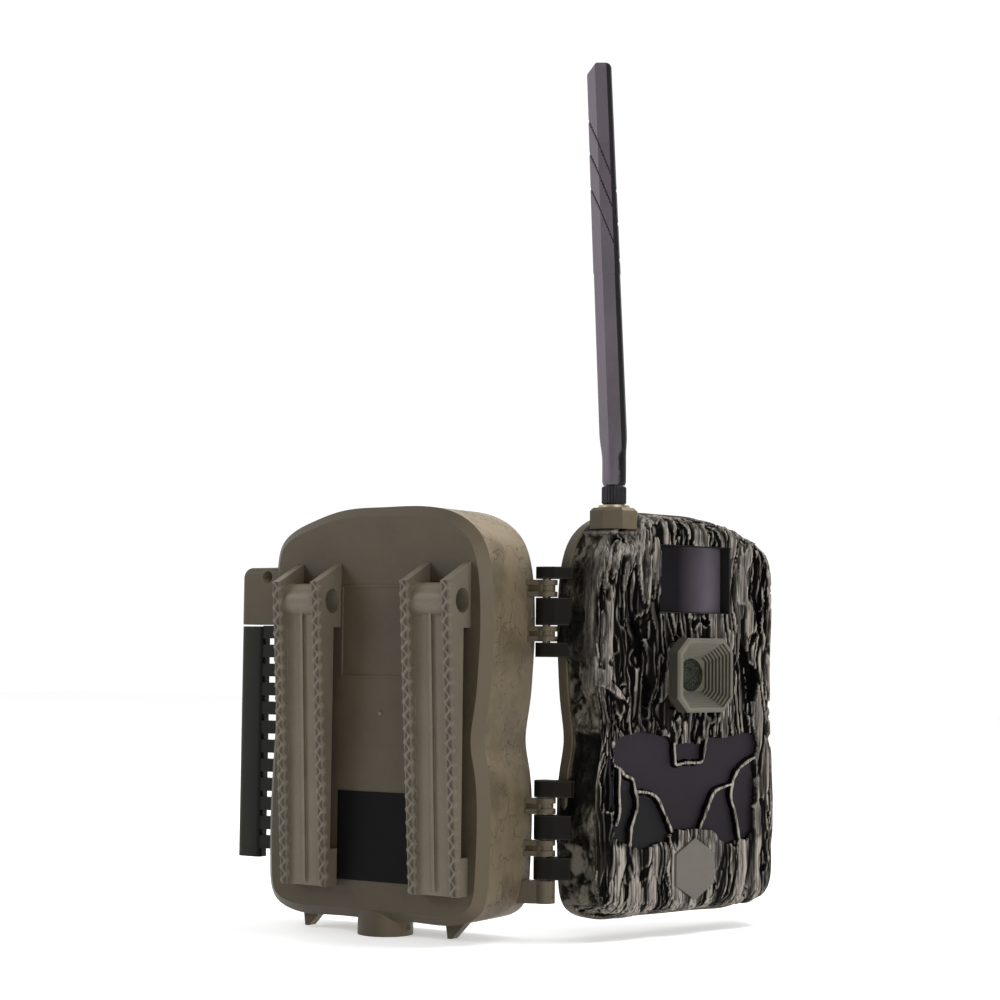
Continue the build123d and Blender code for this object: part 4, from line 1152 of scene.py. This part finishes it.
def make_antenna():
    """Leaning blade with flat facets, three slanting cuts, a bevelled tip and a round lower end."""
    base, tip = aerial_axis()
    bend = base + (0, 0, NECK_HEIGHT)
    length = np.linalg.norm(tip - bend)
    lean = (tip - bend) / length
    total = length + NECK_HEIGHT
    ring = section_ring(BLADE_SECTION, 0.55)
    angle = np.arctan2(ring[:, 1], ring[:, 0])
    circle = np.column_stack([np.cos(angle), np.sin(angle)]) * NECK_RADIUS
    right = np.array(BLADE_RIGHT)
    near = np.array([BLADE_RIGHT[1], -BLADE_RIGHT[0], 0])
    levels = [*NECK_LEVELS, *np.arange(32, length - CUT_ZONE, 8), *np.arange(length - CUT_ZONE, total, 0.42)]
    rows, marks = [], []
    for h in levels:
        part = ramp_between(np.array(h), 9.0, 19.0)
        size = 1.0 - 0.10 * max(0.0, h - 24) / length
        shape = (circle * (1 - part) + ring * part * size) * min(1.0, 0.9 + 0.1 * h)
        slant = total - h - GROOVE_SLOPE * (shape[:, 0] + 4.6)
        cuts = [slant - start for start in GROOVES]
        depth = np.max([bell(cut / 0.42) for cut in cuts], axis=0)
        swell = 1 + 0.012 * np.sum([cut > 0 for cut in cuts], axis=0) * (total - h < 80)
        shape = shape * (swell * (1 - 0.09 * depth))[:, None]
        spine = base + (0, 0, h) if h < NECK_HEIGHT else bend + lean * (h - NECK_HEIGHT)
        bevels = np.maximum(np.clip(-1.0 - shape[:, 0], 0, 9) * 1.15, np.clip(shape[:, 0] - 2.6, 0, 9) * 0.5)
        sink = np.clip(h - (total - bevels), 0, None)
        rows.append(spine + shape[:, :1] * right + shape[:, 1:] * near - lean * sink[:, None])
        marks.append(slant)
    count = len(ring)
    points = np.vstack([*rows, rows[-1].mean(0), rows[0].mean(0)])
    cap = len(rows) * count
    faces = loft(len(rows), count, capped=False)
    faces += fan(cap - count, count, cap) + fan(0, count, cap + 1, flipped=True)
    piece = make_piece("antenna_sleeve", points * MM, faces, "antenna_plastic", "antenna",
                       replaces=["antenna_blade"])
    piece.data.set_sharp_from_angle(angle=math.radians(16))
    add_values(piece, slant=np.append(np.concatenate(marks), (0, 0)))


# Camera, light and floor

def make_camera():
    place_at = Vector((0.44514, -0.64033, 0.10433))
    yaw, pitch, roll = -0.55549, 0.0721, 0.01061
    ahead = Vector((math.sin(yaw) * math.cos(pitch), math.cos(yaw) * math.cos(pitch), math.sin(pitch)))
    level = Vector((math.cos(yaw), -math.sin(yaw), 0))
    above = level.cross(ahead)
    right = level * math.cos(roll) + above * math.sin(roll)
    up = above * math.cos(roll) - level * math.sin(roll)
    data = bpy.data.cameras.new("camera")
    data.lens = 75.15
    data.sensor_width = 36
    camera = placed("camera", data)
    camera.matrix_world = Matrix([*zip(right, up, -ahead, place_at), (0, 0, 0, 1)])
    bpy.context.scene.camera = camera


def area_light(name, spot, target, size, power):
    data = bpy.data.lights.new(name, "AREA")
    data.shape = "DISK"
    data.size = size
    data.energy = power
    light = placed(name, data)
    light.location = spot
    light.rotation_euler = (Vector(target) - Vector(spot)).to_track_quat("-Z", "Y").to_euler()


def make_stage():
    """Pale floor that reaches 3 m each way, three soft lights and the world."""
    corners = [(-3, -3, 0), (3, -3, 0), (3, 3, 0), (-3, 3, 0)]
    floor = mesh_object("floor", corners, [(0, 1, 2, 3)])
    material, tree, shader = new_material("floor_pale")
    feed(tree, shader, {"Base Color": (0.86, 0.86, 0.86, 1), "Roughness": 0.9,
                        "Emission Color": (1, 1, 1, 1), "Emission Strength": 0.4})
    floor.data.materials.append(material)
    make_world()
    middle = (0.03, 0.03, 0.12)
    area_light("key", (-1.0, -1.0, 0.7), middle, 0.7, 8.5)
    area_light("front", (1.35, -0.95, 0.65), middle, 0.9, 10)
    area_light("top", (0.45, 0.35, 1.5), middle, 0.7, 15)
    bpy.context.scene.view_settings.view_transform = "Standard"


def make_world():
    """White wall behind the object, dimmer room in front of it."""
    world = bpy.data.worlds.new("studio")
    bpy.context.scene.world = world
    world.use_nodes = True
    tree = world.node_tree
    wall = along(tree, coords(tree, "Generated"), (-0.53, 0.83, 0.18))
    strength = spread(tree, wall, -0.1, 0.45, 0.24, 1.05)
    feed(tree, tree.nodes["Background"], {"Strength": strength, "Color": (1, 1, 1, 1)})


dress_nodes()
make_bark()
make_ir_panel()
make_twigs()
make_pir_recess()
make_grips()
make_gate_mark()
make_antenna()
make_camera()
make_stage()
